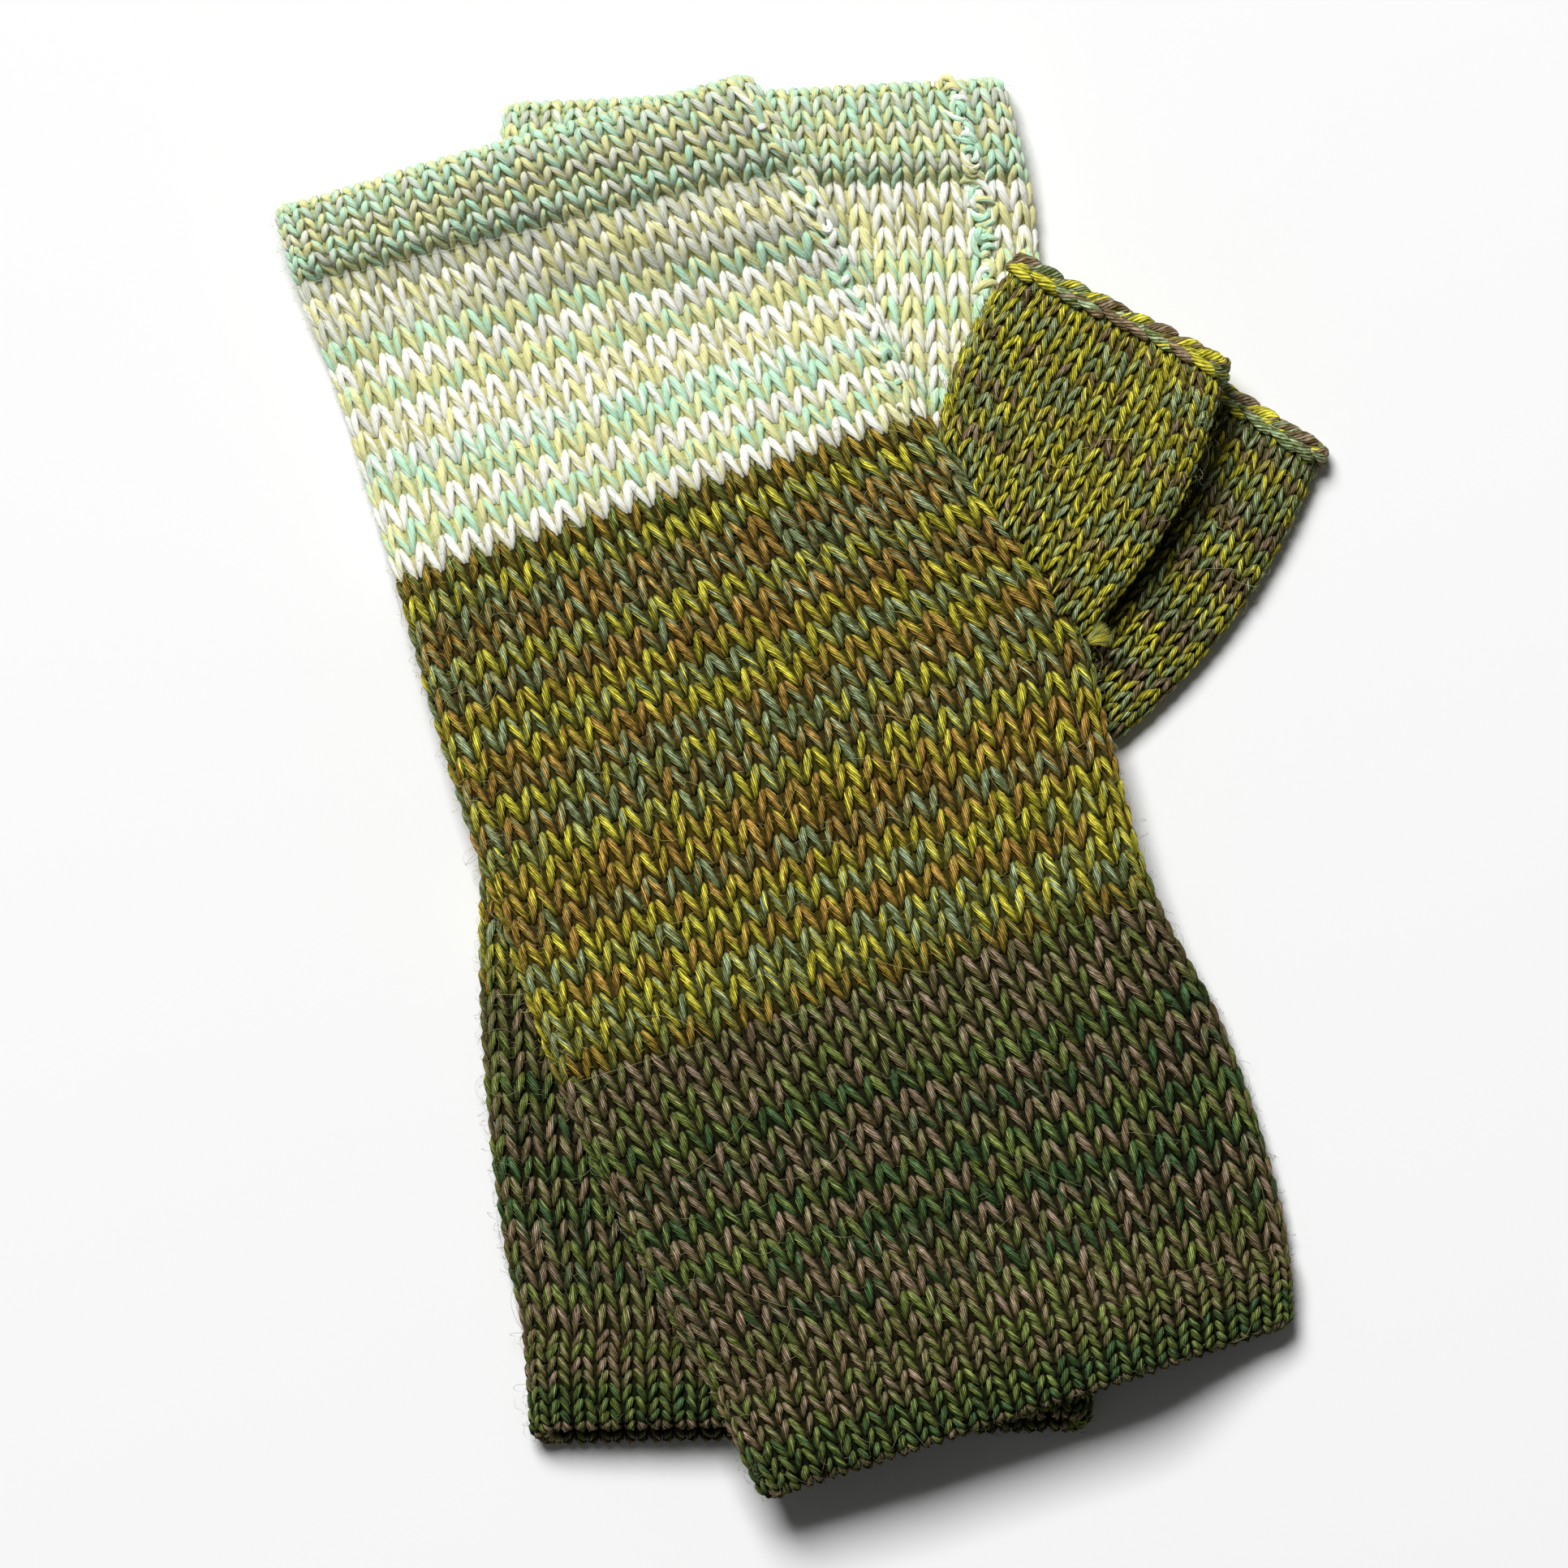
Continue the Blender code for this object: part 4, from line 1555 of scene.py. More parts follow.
def signed_volume(mesh: bpy.types.Mesh) -> float:
    """Measure a closed mesh.

    Args:
        mesh: The mesh.

    Returns:
        Its volume, negative where its faces point in.
    """
    mesh.calc_loop_triangles()
    points = np.empty(len(mesh.vertices) * 3)
    mesh.vertices.foreach_get("co", points)
    index = np.empty(len(mesh.loop_triangles) * 3, int)
    mesh.loop_triangles.foreach_get("vertices", index)
    a, b, c = np.moveaxis(points.reshape(-1, 3)[index.reshape(-1, 3)], 1, 0)
    return float(np.einsum("ij,ij->i", a, np.cross(b, c)).sum() / 6)


# How far a leg's marl strays from its row's, and how dark the painted shade in the hollows is, by
# slot
STRAY = {"pale_wool": 0.18, "olive_wool": 0.26, "dark_wool": 0.24}
HOLLOW_SHADE = {"pale_wool": 0.07, "olive_wool": 1.0, "dark_wool": 1.16}


@dataclass(frozen=True)
class Band:
    """One yarn's stretch of a mitten's body, or a turned hem."""

    mitten: Mitten
    node: str
    start: float
    end: float
    slot: str
    rows: tuple[RowYarn, ...]
    seed: int

    def build(self, wools: Wools) -> bpy.types.Object:
        """Knit the band and dress it.

        Args:
            wools: The finishes.

        Returns:
            The wall that stands for the cloth.
        """
        name = f"{self.mitten.name}_{self.node}"
        cloth = BodyCloth(self.mitten)
        pitch = (self.end - self.start) / len(self.rows)
        first, rows = self.start, self.rows
        wall_start, wall_end = self.start, self.end
        inside = math.ceil((math.pi * HEM_RADIUS + HEM_OVERLAP) / pitch)
        if self.node == "finger_welt":
            rows = tuple(rows[i % len(rows)] for i in range(-inside, len(rows)))
            first -= inside * pitch
            wall_start = -self.end
        if self.node == "wrist_welt":
            rows = tuple(rows[i % len(rows)] for i in range(len(rows) + inside))
            wall_end = self.end + (self.end - self.start)
        patch = KnitPatch(
            cloth,
            BODY_WALES,
            first,
            pitch,
            rows,
            self.seed,
            stray=STRAY[self.slot],
            hollow=HOLLOW_SHADE[self.slot],
            plain_ends=(-HEM_SHOWN, self.mitten.end + HEM_SHOWN),
        )
        mesh = YarnMesh(self.seed + Seed.STITCHES)
        patch.add_to(mesh)
        bloom = (*FIBRE_SHADES[self.slot], self.seed + Seed.BLOOM)
        Bloom(cloth, self.start, self.end, *bloom).add_to(mesh)
        stitches = mesh.finish(f"{name}_stitches", wools.yarn[self.slot])
        wall = ClothWall(cloth, wall_start, wall_end, rows).build(
            f"{name}_cloth", wools.backing[self.slot], first, pitch
        )
        girth = float(cloth.girth(np.array([(self.start + self.end) / 2]))[0])
        dress(wall, stitches, name)
        return wall


@dataclass(frozen=True)
class Thumb:
    """The thumb's tube with its cast-off edge."""

    mitten: Mitten
    rows: tuple[RowYarn, ...]
    seed: int
    hollow: float
    pitch: float = 2.6
    stray: float = 0.32
    underlap: float = 1.0
    root_clearance: float = 0.2
    bloom_start: float = 0.5
    columns: int = 48
    gauge_run: float = 15.0

    def build(self, wools: Wools) -> bpy.types.Object:
        """Knit the thumb and dress it.

        Args:
            wools: The finishes.

        Returns:
            The wall that stands for the cloth.
        """
        name = f"{self.mitten.name}_thumb"
        cloth = ThumbCloth(self.mitten)
        lengths = cloth.lengths(np.linspace(0, 1, THUMB_STEPS))
        count = math.ceil(lengths.max() / self.pitch)
        rows = tuple(self.rows[i % len(self.rows)] for i in range(count))
        patch = KnitPatch(
            cloth,
            THUMB_WALES,
            CASTOFF_LENGTH - self.underlap,
            self.pitch,
            rows,
            self.seed,
            stray=self.stray,
            hollow=self.hollow,
        )
        middle = (np.arange(THUMB_WALES) + 0.5) / THUMB_WALES
        deepest = np.arange(count)[:, None] - self.root_clearance
        deepest = CASTOFF_LENGTH + self.pitch * deepest
        wanted = deepest < cloth.reach(middle)[None, :]
        mesh = YarnMesh(self.seed + Seed.STITCHES)
        patch.add_to(mesh, wanted, THUMB_LEG)
        bloom = (*FIBRE_SHADES["thumb_wool"], self.seed + Seed.BLOOM)
        Bloom(cloth, self.bloom_start, float(lengths.min()), *bloom).add_to(mesh)
        stitches = mesh.finish(f"{name}_stitches", wools.yarn["thumb_wool"])
        start = CASTOFF_LENGTH - CASTOFF_UNDERLAP
        wall = ClothWall(cloth, start, cloth.reach, rows, columns=self.columns).build(
            f"{name}_cloth", wools.backing["thumb_wool"], patch.first, self.pitch
        )
        girth = float(cloth.girth(np.array([self.gauge_run]))[0])
        dress(wall, stitches, name)
        return wall


def marled(
    random: np.random.Generator, count: int, shades: tuple[Shade, ...], share: float = 0.4
) -> tuple[np.ndarray, np.ndarray]:
    """Draw pairs of shades for separate strands.

    Args:
        random: The source of chance.
        count: Number of strands.
        shades: The shades to draw from.
        share: The usual share of plies that the partner takes.

    Returns:
        The lead colours, and the partners' with their shares.
    """
    known = np.array([linear(shade.value) for shade in shades])
    lead, partner = known[random.integers(len(shades), size=(2, count))]
    shares = random.normal(share, STRAND_MARL_SPREAD, (count, 1))
    shares = np.clip(shares, *STRAND_MARL_RANGE)
    return lead, np.concatenate([partner, shares], axis=1)


def unplied(lead: np.ndarray) -> tuple[np.ndarray, np.ndarray]:
    """Colours of loose fibres, for the material to draw without plies."""
    return lead, np.column_stack([lead, np.full(len(lead), LOOSE)])


THUMB_SHADES = (Shade.ACID, Shade.TEAL, Shade.TAUPE, Shade.BROWN)
PALE_SHADES = (Shade.WHITE, Shade.MINT, Shade.CITRON)
SEAM_SHADES = (Shade.WHITE, Shade.MINT, Shade.MINT, Shade.CITRON)
DARK_SHADES = (Shade.TAUPE, Shade.FOREST, Shade.MOSS)
OLIVE_SHADES = (Shade.ACID, Shade.BROWN, Shade.TEAL)
CHAIN_SHADES = (Shade.ACID, Shade.TEAL, Shade.TAUPE)
TAIL_SHADES = (Shade.ACID, Shade.ACID, Shade.TEAL, Shade.MOSS)

# Places along a fibre, and its width there as a share
FIBRE_TAPER = ((0.0, 0.15, 0.7, 1.0), (0.0, 1.0, 0.9, 0.0))
TAIL_TAPER = ((0.0, 0.02, 0.5, 1.0), (0.0, 1.0, 1.0, 0.0))

# The loose fibres' colours by slot, and the light tint that all of them are paled towards as
# painted light
FIBRE_SHADES = {
    "pale_wool": (PALE_SHADES, Shade.WHITE),
    "olive_wool": (OLIVE_SHADES, Shade.LIT_STRAW),
    "dark_wool": (DARK_SHADES, Shade.LIT_STRAW),
    "thumb_wool": (THUMB_SHADES, Shade.LIT_STRAW),
}


@dataclass(frozen=True)
class CastOff:
    """The chain of links bound off round the thumb's end, lying on its edge."""

    mitten: Mitten
    seed: int
    links: int = 20
    sides: int = 7
    middle: float = 1.5
    half_link: float = 1.35
    half_gap: float = 0.15
    overlap: float = 1.5
    half_width: float = 1.0
    proud: float = 0.50
    arch: float = 0.9
    arch_power: float = 1.5
    crown: float = 0.35
    middle_drop: float = 0.5
    partner_share: float = 0.5
    turn_spread: float = 0.10
    run_spread: float = 0.12
    out_spread: float = 0.06
    width_spread: float = 0.06

    def build(self, wools: Wools) -> bpy.types.Object:
        """Bind off the edge and dress it.

        Args:
            wools: The finishes.

        Returns:
            The chain.
        """
        name = f"{self.mitten.name}_thumb_castoff"
        random = np.random.default_rng(self.seed)
        each = (3 * self.links, 1)
        link = np.repeat(np.arange(self.links), 3)[:, None]
        side = np.tile([-1.0, 1.0, 0.0], self.links)[:, None]
        t = np.array(FULL_LEG.marks)
        turn = link + random.normal(0, self.turn_spread, each) + self.overlap * t
        run = self.middle + side * (self.half_gap + self.half_link * t)
        run = run + random.normal(0, self.run_spread, each)
        out = self.proud - self.arch * np.abs(t - self.crown) ** self.arch_power
        out = out - self.middle_drop * (side == 0) + random.normal(0, self.out_spread, each)
        widths = self.half_width * np.array(FULL_LEG.widths)
        widths = widths * random.normal(1, self.width_spread, each)
        colours = marled(random, len(link), CHAIN_SHADES, self.partner_share)
        places = (turn / self.links, run, out)
        strands = lay_out(ThumbCloth(self.mitten), places, widths, colours)
        strands.rest_on_table()
        mesh = YarnMesh(self.seed + Seed.STRANDS)
        mesh.add(strands, self.sides)
        piece = mesh.finish(f"{name}_chain", wools.yarn["thumb_wool"])
        declare(piece, name)
        return piece


@dataclass(frozen=True)
class SideSeam:
    """The sewn join beside the thumb: uneven loops pulled through from both edges."""

    mitten: Mitten
    seed: int
    reach: float
    rise: float
    spacing: float
    curl: float
    half_width: float = 0.62
    marks: int = 9
    sides: int = 7
    first: float = 2.5
    last: float = 1.0
    place_spread: float = 0.5
    reach_spread: float = 0.15
    rise_spread: float = 1.0
    bow: tuple[float, float] = (0.7, 1.1)
    curled_share: float = 0.75
    curl_turn: tuple[float, float] = (2.0, 4.6)
    curl_spread: float = 0.25
    curl_aside: float = 0.7
    curl_stretch: float = 1.2
    side_shift: float = 0.6
    depth: float = 0.9
    height: tuple[float, float] = (1.25, 0.25)
    roundness: float = 0.7
    width_spread: float = 0.12

    def build(self, wools: Wools) -> bpy.types.Object:
        """Sew the seam and dress it.

        Args:
            wools: The finishes.

        Returns:
            The loops.
        """
        name = f"{self.mitten.name}_side_seam"
        mitten = self.mitten
        random = np.random.default_rng(self.seed)
        cloth = BodyCloth(mitten)
        end = mitten.length_at("pale end")
        count = round((end - self.first) / self.spacing)
        each = (count, 1)
        place = np.linspace(self.first, end - self.last, count)[:, None]
        place = place + random.normal(0, self.place_spread, each)
        side = np.tile([-1.0, 1.0], count)[:count, None]
        t = np.linspace(0, 1, self.marks)
        from_middle = 2 * t - 1
        sweep = side * from_middle * self.reach * random.normal(1, self.reach_spread, each)
        run = place + from_middle * random.normal(self.rise, self.rise_spread, each)
        run = run - random.normal(*self.bow, each) * (1 - from_middle**2)
        # Most of the loops of a curled seam are rings or arcs
        angle = random.uniform(0, 2 * math.pi, each)
        angle = angle + t * random.uniform(*self.curl_turn, each)
        radius = self.curl * random.lognormal(0, self.curl_spread, each)
        curled = random.uniform(0, 1, each) < self.curled_share * (self.curl > 0)
        sweep = np.where(curled, side * self.curl_aside + radius * np.cos(angle), sweep)
        run = np.where(curled, place + self.curl_stretch * radius * np.sin(angle), run)
        girth = cloth.girth(run)
        height = mitten.height_at(run)
        width = (girth - math.pi * height) / 2 + height
        turn = math.pi * height / 4 + width - height / 2 - mitten.seam_inset
        turn = (turn + sweep - self.side_shift * side) / girth
        out = random.normal(*self.height, each) * np.sin(np.pi * t) ** self.roundness
        widths = self.half_width * np.interp(t, FULL_LEG.marks, FULL_LEG.widths)
        widths = widths * random.normal(1, self.width_spread, each)
        colours = marled(random, count, SEAM_SHADES)
        mesh = YarnMesh(self.seed + Seed.STRANDS)
        mesh.add(lay_out(cloth, (turn, run, out - self.depth), widths, colours), self.sides)
        piece = mesh.finish(f"{name}_loops", wools.yarn["pale_wool"])
        declare(piece, name)
        return piece


@dataclass(frozen=True)
class YarnTail:
    """The cut yarn end at the thumb's crotch, frayed into a small brush."""

    mitten: Mitten
    seed: int
    lift: float = 5.2
    length: float = 4.6
    shortest: float = 0.6
    heading: float = math.radians(28)
    past_crotch: float = 1.0
    root: float = 0.8
    bundle: float = 0.3
    spread: float = 1.45
    flare: float = 1.6
    rise: float = 0.5
    plies: int = 4
    ply_half_width: float = 0.42
    ply_length: float = 0.75
    ply_marks: int = 7
    ply_sides: int = 6
    fibres: int = 300
    fibre_half_width: float = 0.075
    fibre_length: float = 1.0
    fibre_marks: int = 6
    fibre_sides: int = 3
    fibre_light: tuple[float, float] = (1.05, 0.01)

    def build(self, wools: Wools) -> bpy.types.Object:
        """Fray the tail and dress it.

        Args:
            wools: The finishes.

        Returns:
            The brush.
        """
        random = np.random.default_rng(self.seed)
        mesh = YarnMesh(self.seed + Seed.STRANDS)
        crotch = self.mitten.crotch
        half = self.mitten.station(np.array(crotch))[2] / 2
        x, y = self.mitten.side_point(np.array(crotch + self.past_crotch), half + THUMB_ROOT_GAP)
        kinds = (
            (self.plies, self.ply_half_width, self.ply_length, self.ply_marks),
            (self.fibres, self.fibre_half_width, self.fibre_length, self.fibre_marks),
        )
        for (count, half_width, length, marks), plied in zip(kinds, (True, False)):
            t = np.linspace(0, 1, marks)
            aim = random.normal(0, 1, (2, count, 1)) * self.spread / 2
            reach = self.length * random.uniform(self.shortest, 1.0, (count, 1)) * length
            forward = reach * t - self.root
            side = self.bundle * aim[0] + aim[0] * t**self.flare
            up = self.lift + self.bundle * aim[1] + np.abs(aim[1]) * self.rise * t**self.flare
            px = x + forward * math.cos(self.heading) - side * math.sin(self.heading)
            py = y + forward * math.sin(self.heading) + side * math.cos(self.heading)
            centres = self.mitten.placed(px, py, up)
            ups = np.broadcast_to([0.0, 0.0, 1.0], centres.shape)
            taper = np.interp(t, *TAIL_TAPER)
            widths = np.broadcast_to(half_width * taper * MM, (count, marks))
            lead, partner = marled(random, count, TAIL_SHADES)
            if not plied:
                # Painted light: the tail's loose fibres are brightened, as if they catch the light
                lead, partner = unplied(self.fibre_light[0] * lead + self.fibre_light[1])
            strands = Strands(centres, ups, widths, lead, partner, flatness=1.0)
            mesh.add(strands, self.ply_sides if plied else self.fibre_sides)
        piece = mesh.finish("over_yarn_tail_brush", wools.yarn["thumb_wool"])
        declare(piece, "over_yarn_tail")
        return piece


@dataclass(frozen=True)
class Fibres:
    """One kind of loose fibre: how many to an area, how long, how curved and how proud."""

    area: float
    length: float
    spread: float
    bend: float
    lift: float
    half_width: float
    marks: int
    lit_pallor: float


# Real fibres are 0.02 mm thick. These are thicker, so that they show at all.
# The pallor is painted light: it pales loose fibres towards a light tint, as if they catch the
# light
FUZZ = Fibres(
    area=5.0, length=1.6, spread=0.4, bend=1.8, lift=0.35, half_width=0.036, marks=4, lit_pallor=0.15
)
HAIRS = Fibres(
    area=90.0, length=6.5, spread=0.65, bend=2.2, lift=0.6, half_width=0.036, marks=10, lit_pallor=0.45
)


@dataclass(frozen=True)
class Bloom:
    """Loose fibres that stand out of the yarn along some cloth, most on the upper side."""

    cloth: Surface
    start: float
    end: float
    shades: tuple[Shade, ...]
    lit_tint: Shade
    seed: int
    below: float = 0.25
    at_folds: float = 0.20
    fold_place: tuple[float, float] = (0.02, 0.012)
    fold_lift: float = 2.2
    lift_spread: float = 0.5
    arc: tuple[float, float] = (0.5, 0.95)
    root: float = 0.2
    highest: float = 2.0
    sides: int = 3

    def add_to(self, mesh: YarnMesh) -> None:
        """Add the fibres to a mesh.

        Args:
            mesh: The mesh.
        """
        random = np.random.default_rng(self.seed)
        girth = float(self.cloth.girth(np.array([(self.start + self.end) / 2]))[0])
        for kind in (FUZZ, HAIRS):
            count = int(girth * (self.end - self.start) / kind.area * (0.5 + self.below))
            self.add_kind(mesh, kind, count, girth, random)

    def add_kind(
        self, mesh: YarnMesh, kind: Fibres, count: int, girth: float, random: np.random.Generator
    ) -> None:
        """Add fibres of one kind.

        Args:
            mesh: The mesh.
            kind: The kind.
            count: How many.
            girth: Millimetres round the cloth.
            random: The source of chance.
        """
        t = np.linspace(0, 1, kind.marks)
        size = (count, 1)
        reach = kind.length * np.exp(random.normal(0, kind.spread, size))
        heading = random.uniform(0, 2 * math.pi, size) + random.normal(0, kind.bend, size) * t
        heading = heading + random.normal(0, 0.5 * kind.bend, size) * t * t
        step = reach / (kind.marks - 1)
        across = np.cumsum(np.cos(heading) * step, axis=1)
        along = np.cumsum(np.sin(heading) * step, axis=1)
        run = np.clip(random.uniform(self.start, self.end, size) + along, self.start, self.end)
        place = random.uniform(0, 0.5 + self.below, size)
        place = np.where(place > 0.5, 0.5 + (place - 0.5) * 0.5 / self.below, place)
        at_fold = random.uniform(0, 1, size) < self.at_folds
        fold = 0.5 * random.integers(0, 2, size) + random.normal(*self.fold_place, size)
        turn = np.where(at_fold, fold, place) + across / girth
        lift = kind.lift * random.lognormal(0, self.lift_spread, size)
        lift = lift * np.where(at_fold, self.fold_lift, 1.0)
        arch = np.sin(np.pi * t * random.uniform(*self.arc, size))
        out = np.minimum((lift + self.root) * arch - self.root, self.highest)
        taper = np.interp(t, *FIBRE_TAPER)
        lead, _ = marled(random, count, self.shades)
        # Painted light: the fibres are paled towards a light tint
        colours = unplied(lead + (linear(self.lit_tint.value) - lead) * kind.lit_pallor)
        strands = lay_out(self.cloth, (turn, run, out), kind.half_width * taper, colours)
        strands.rest_on_table()
        mesh.add(strands, self.sides, shared_cell=True)


def dress(
    wall: bpy.types.Object,
    stitches: bpy.types.Object,
    node_name: str,
) -> None:
    """Declare a stretch of cloth and its stitches.

    Args:
        wall: The cloth's thin wall.
        stitches: The stitches on it.
        node_name: The solid that both stand for.
    """
    for piece in (wall, stitches):
        declare(piece, node_name)


@dataclass(frozen=True)
class Studio:
    """A plain white table under a large soft light from the upper left."""

    frame_width: float = 257.6
    middle: tuple[float, float] = (-2.43, 0.67)
    camera_height: float = 2.5
    sensor: float = 36.0
    view_depth: float = 20.0
    floor_size: float = 4.0
    floor_drop: float = 0.0002
    floor_colour: str = "#F4F4F4"
    floor_roughness: float = 0.9
    world_strength: float = 0.07
    key_power: float = 337.0
    key_size: float = 2.1
    key_place: tuple[float, float, float] = (-1.11, 2.71, 4.34)

    def build(self) -> None:
        """Set up the floor, the light, the world and the camera."""
        self.floor()
        self.light()
        self.camera()
        bpy.context.scene.view_settings.view_transform = "Standard"

    def floor(self) -> None:
        """Lay the white table.

        It is board painted matt white. The eye sees no highlight on it, only the pair's shadow.
        """
        half = self.floor_size / 2
        mesh = bpy.data.meshes.new("floor")
        corners = ((-half, -half), (half, -half), (half, half), (-half, half))
        corners = [(x, y, -self.floor_drop) for x, y in corners]
        mesh.from_pydata(corners, [], [(0, 1, 2, 3)])
        material = bpy.data.materials.new("matt_white_board")
        material.use_nodes = True
        shader = material.node_tree.nodes["Principled BSDF"]
        shader.inputs["Base Color"].default_value = (*linear(self.floor_colour), 1.0)
        shader.inputs["Roughness"].default_value = self.floor_roughness
        add_piece("floor", mesh, material)

    def light(self) -> None:
        """Hang the soft light and the pale surroundings."""
        data = bpy.data.lights.new("softbox", "AREA")
        data.shape = "SQUARE"
        data.size = self.key_size
        data.energy = self.key_power
        light = bpy.data.objects.new("softbox", data)
        light.location = self.key_place
        bpy.context.scene.collection.objects.link(light)
        x, y, z = self.key_place
        light.rotation_euler = (math.atan2(math.hypot(x, y), z), 0.0, math.atan2(-x, y) + math.pi)
        world = bpy.data.worlds.new("studio")
        world.use_nodes = True
        background = world.node_tree.nodes["Background"]
        background.inputs["Color"].default_value = (1.0, 1.0, 1.0, 1.0)
        background.inputs["Strength"].default_value = self.world_strength
        bpy.context.scene.world = world

    def camera(self) -> None:
        """Hang the camera straight above the pair."""
        data = bpy.data.cameras.new("camera")
        data.sensor_width = self.sensor
        data.lens = self.sensor * self.camera_height / (self.frame_width * MM)
        data.clip_end = self.view_depth
        camera = bpy.data.objects.new("camera", data)
        camera.location = (self.middle[0] * MM, self.middle[1] * MM, self.camera_height)
        bpy.context.scene.collection.objects.link(camera)
        bpy.context.scene.camera = camera


OVER_SECTIONS = (
    Section("finger edge", -47.1, 105.3, 81.7, 15.7),
    Section("finger seam", -40.1, 90.9, 87.0, 12.6),
    Section("upper pale", -33.0, 75.1, 88.8, 13.6),
    Section("lower pale", -27.3, 60.0, 90.6, 15.0),
    Section("pale end", -22.2, 46.4, 92.1, 17.2),
    Section("thumb middle", -12.9, 27.3, 99.8, 17.4),
    Section("crotch", -3.7, 8.3, 106.2, 17.4),
    Section("palm", 1.4, -8.3, 104.8, 17.8),
    Section("olive end", 9.9, -34.5, 103.4, 17.3),
    Section("upper dark", 19.5, -54.1, 104.9, 16.0),
    Section("lower dark", 27.0, -72.0, 102.9, 14.6),
    Section("wrist seam", 33.0, -87.5, 98.2, 14.2),
    Section("wrist edge", 37.5, -102.5, 92.1, 18.4),
)
UNDER_SECTIONS = (
    Section("finger edge", -7.4, 113.8, 82.3, 3.1),
    Section("finger seam", -5.7, 97.5, 87.9, 1.0),
    Section("upper pale", -5.1, 82.7, 90.3, 0.8),
    Section("lower pale", -4.7, 65.3, 91.9, 0.8),
    Section("pale end", -4.5, 48.2, 93.3, 1.1),
    Section("thumb middle", -2.7, 27.7, 97.9, 1.2),
    Section("crotch", -0.6, 5.5, 103.7, 0.9),
    Section("palm", -0.5, -13.3, 104.0, 0.7),
    Section("olive end", -0.3, -34.3, 104.3, 0.4),
    Section("upper dark", 0.5, -58.0, 102.7, 0.0),
    Section("lower dark", 1.1, -77.0, 98.7, -0.2),
    Section("wrist seam", 1.7, -90.0, 94.4, 0.0),
    Section("wrist edge", 2.1, -104.2, 92.6, 1.5),
)


UNDER_THUMB = ThumbSize(
    end_x=70.3, end_y=65.3, end_width=38.3, end_tilt=-32.6, bulge_out=4.4, bulge_in=2.0
)
OVER_THUMB = ThumbSize(
    end_x=53.3, end_y=77.7, end_width=37.9, end_tilt=-27.0, bulge_out=4.0, bulge_in=2.3
)

# How dark each thumb's painted shade in the hollows is, and each seam's reach, rise, spacing and
# curl
UNDER_THUMB_HOLLOW_SHADE = 1.35
OVER_THUMB_HOLLOW_SHADE = 0.36
UNDER_SEAM = (2.0, 0.3, 0.75, 1.15)
OVER_SEAM = (0.9, 1.5, 2.2, 0.0)


# The main creases of each top layer, by place, heading, size and lift
OVER_CREASES = (
    Crease(4.0, 2.0, 0.0, 44.0, 8.5, 4.4),
    Crease(37.0, 3.0, 70.0, 8.0, 5.0, 1.2),
    Crease(12.0, 12.0, 1.0, 40.0, 3.8, -1.3),
    Crease(0.0, 14.0, 2.0, 60.0, 15.0, 1.8),
    Crease(8.0, 38.0, 2.0, 40.0, 9.0, -0.9),
    Crease(0.0, 66.0, -2.0, 60.0, 17.0, 1.9),
    Crease(30.0, 78.0, 35.0, 22.0, 6.0, 0.6),
    Crease(-12.0, 104.0, 14.0, 34.0, 7.0, 0.5),
    Crease(14.0, 128.0, -12.0, 30.0, 6.0, -0.5),
    Crease(-24.0, 150.0, 8.0, 24.0, 8.0, 0.5),
    Crease(12.0, 176.0, 4.0, 38.0, 6.0, -0.6),
    Crease(-8.0, 192.0, -5.0, 32.0, 7.0, 0.6),
    Crease(0.0, 216.0, 0.0, 36.0, 6.0, 0.6),
)
OVER_THUMB_CREASES = (
    Crease(15.0, 16.0, 90.0, 26.0, 8.0, 4.4),
    Crease(-9.0, 20.0, 70.0, 14.0, 5.0, 0.6),
)
UNDER_THUMB_CREASES = (
    Crease(13.0, 12.0, 80.0, 14.0, 4.0, 1.0),
    Crease(3.0, 16.0, 95.0, 26.0, 6.0, -3.4),
)
UNDER_CREASES = (
    Crease(32.0, 17.5, 0.0, 20.0, 4.5, 1.6),
    Crease(14.0, 8.0, 0.0, 24.0, 7.0, 0.8),
    Crease(20.0, 25.0, 0.0, 26.0, 5.0, -0.6),
    Crease(30.0, 46.0, 50.0, 16.0, 5.0, 0.5),
    Crease(-40.0, 150.0, 84.0, 26.0, 5.0, 0.5),
    Crease(-36.0, 186.0, 96.0, 22.0, 5.0, -0.5),
    Crease(-20.0, 214.0, 0.0, 22.0, 9.0, 2.2),
)


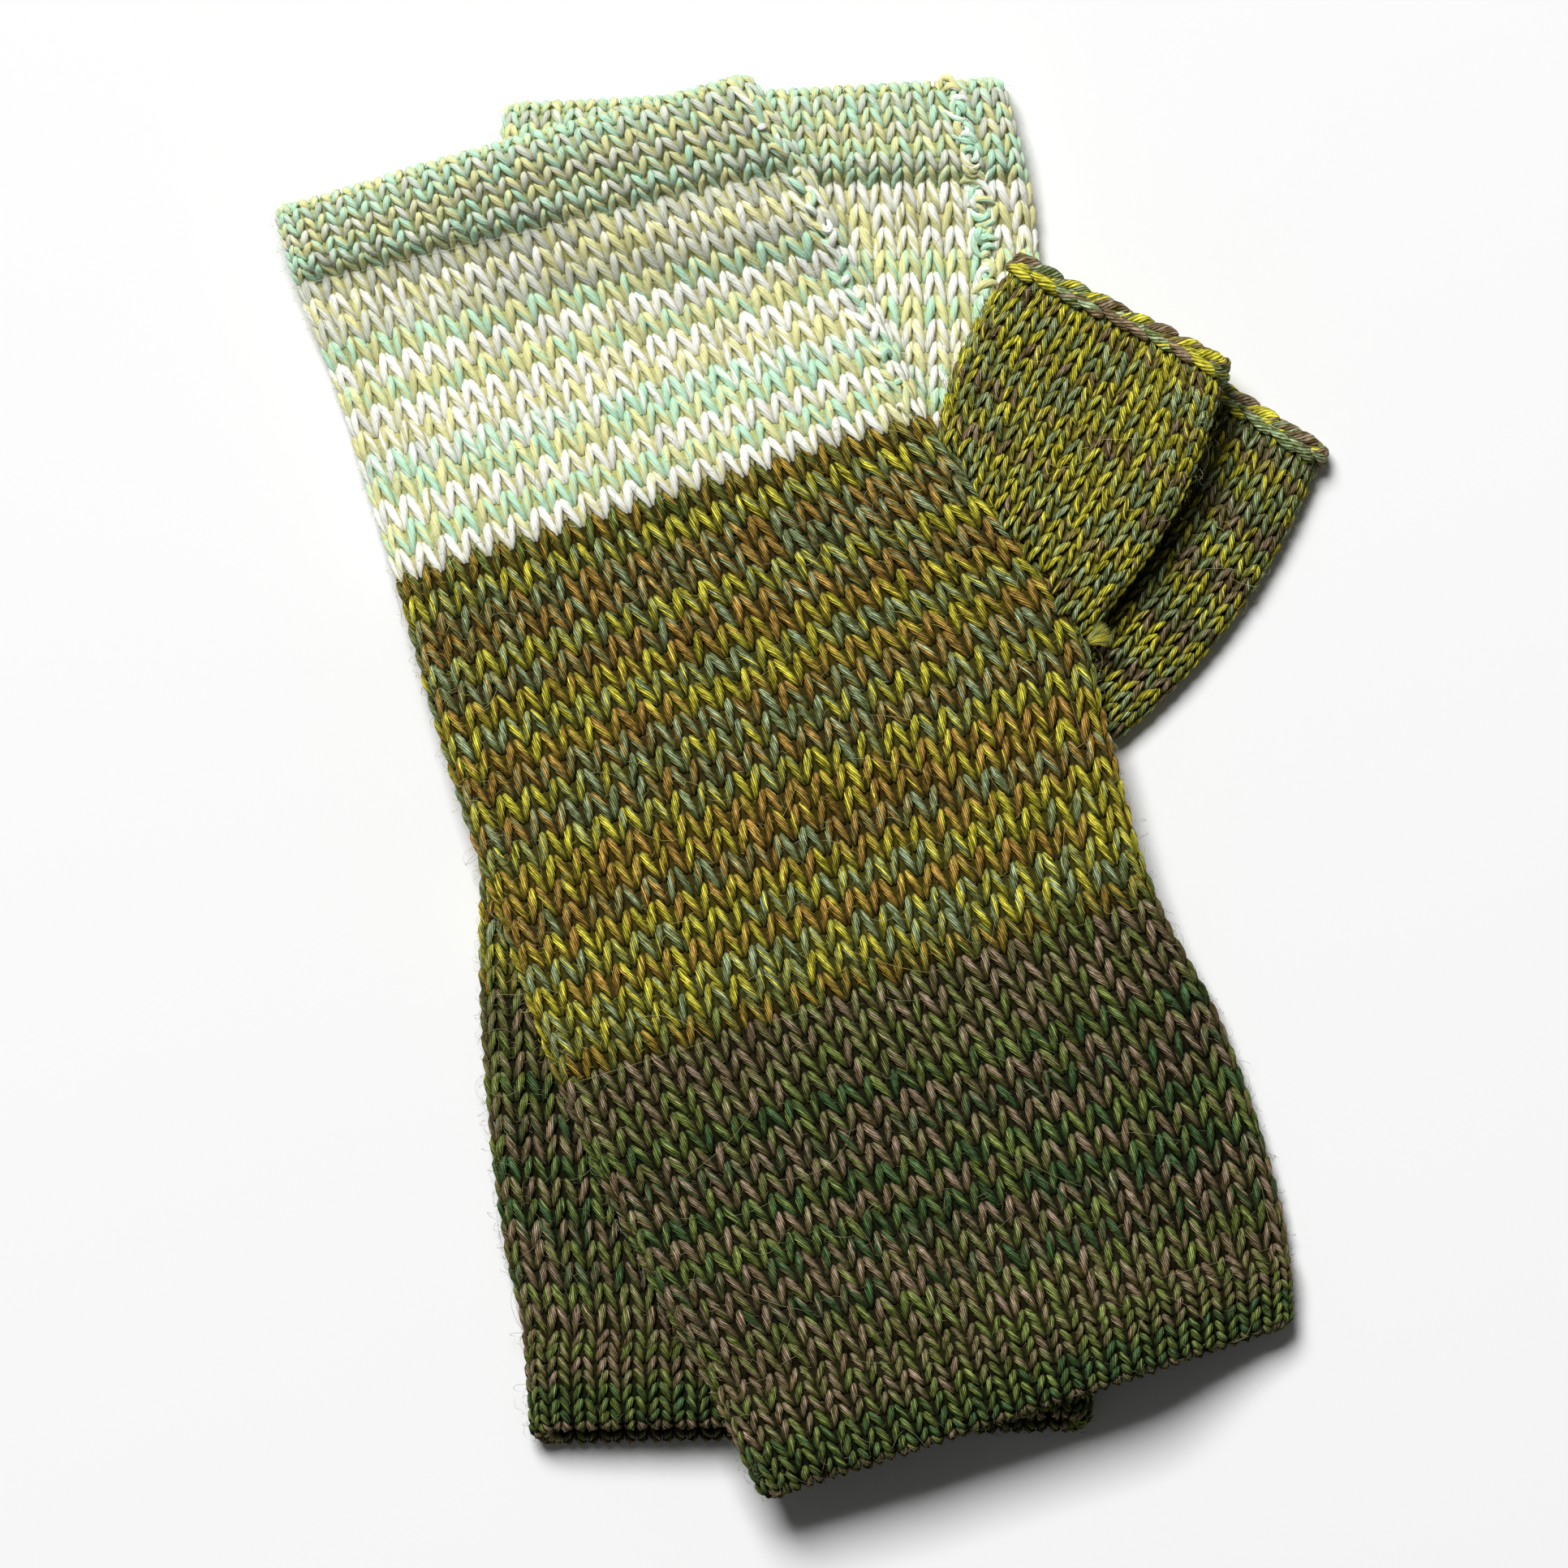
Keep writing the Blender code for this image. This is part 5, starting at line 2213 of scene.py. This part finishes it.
def bands_of(mitten: Mitten, seed: int) -> list[Band]:
    """List one mitten's bands.

    Args:
        mitten: The mitten.
        seed: Seed of its first band.

    Returns:
        The bands, from the fingers to the wrist.
    """
    pale_end = mitten.length_at("pale end")
    olive_end = mitten.length_at("olive end")
    pale_rows = PALE_ROWS if mitten.ground is None else OVER_PALE_ROWS
    table = (
        ("finger_welt", 0.0, mitten.finger_seam, "pale_wool", FINGER_WELT_ROWS),
        ("pale_band", mitten.finger_seam, pale_end, "pale_wool", pale_rows),
        ("olive_band", pale_end, olive_end, "olive_wool", OLIVE_ROWS),
        ("dark_band", olive_end, mitten.wrist_seam, "dark_wool", DARK_ROWS),
        ("wrist_welt", mitten.wrist_seam, mitten.end, "dark_wool", WRIST_WELT_ROWS),
    )
    return [Band(mitten, *row, seed=seed + Seed.BAND * i) for i, row in enumerate(table)]


def main() -> None:
    """Build the pair and the studio, and report each piece."""
    under = Mitten(
        "under",
        UNDER_SECTIONS,
        UNDER_THUMB,
        seam_inset=9.0,
        lower_layer=4.5,
        creases=UNDER_CREASES,
        thumb_creases=UNDER_THUMB_CREASES,
    )
    over = Mitten(
        "over",
        OVER_SECTIONS,
        OVER_THUMB,
        seam_inset=3.2,
        lower_layer=1.5,
        creases=OVER_CREASES,
        thumb_creases=OVER_THUMB_CREASES,
    )
    over.ground = Ground(under)
    Studio().build()
    wools = Wools()
    looks = (
        (under, UNDER_THUMB_ROWS, UNDER_THUMB_HOLLOW_SHADE, UNDER_SEAM),
        (over, OVER_THUMB_ROWS, OVER_THUMB_HOLLOW_SHADE, OVER_SEAM),
    )
    makers: list[Union[Band, Thumb, CastOff, SideSeam, YarnTail]] = []
    for number, (mitten, thumb_rows, hollow, seam) in enumerate(looks, start=1):
        seed = number * Seed.MITTEN
        makers += bands_of(mitten, seed)
        makers.append(Thumb(mitten, thumb_rows, seed + Seed.THUMB, hollow))
        makers.append(CastOff(mitten, seed + Seed.CASTOFF))
        makers.append(SideSeam(mitten, seed + Seed.SEAM, *seam))
    makers.append(YarnTail(over, int(Seed.TAIL)))
    for maker in makers:
        LOG.info("%s is made", maker.build(wools).name)
    counts = {}
    for piece in bpy.context.scene.objects:
        if piece.type == "MESH":
            piece.data.calc_loop_triangles()
            counts[piece.name] = len(piece.data.loop_triangles)
    LOG.info("%d triangles, %d in the largest piece", sum(counts.values()), max(counts.values()))


if __name__ == "__main__":
    logging.basicConfig(level=logging.INFO)
    main()
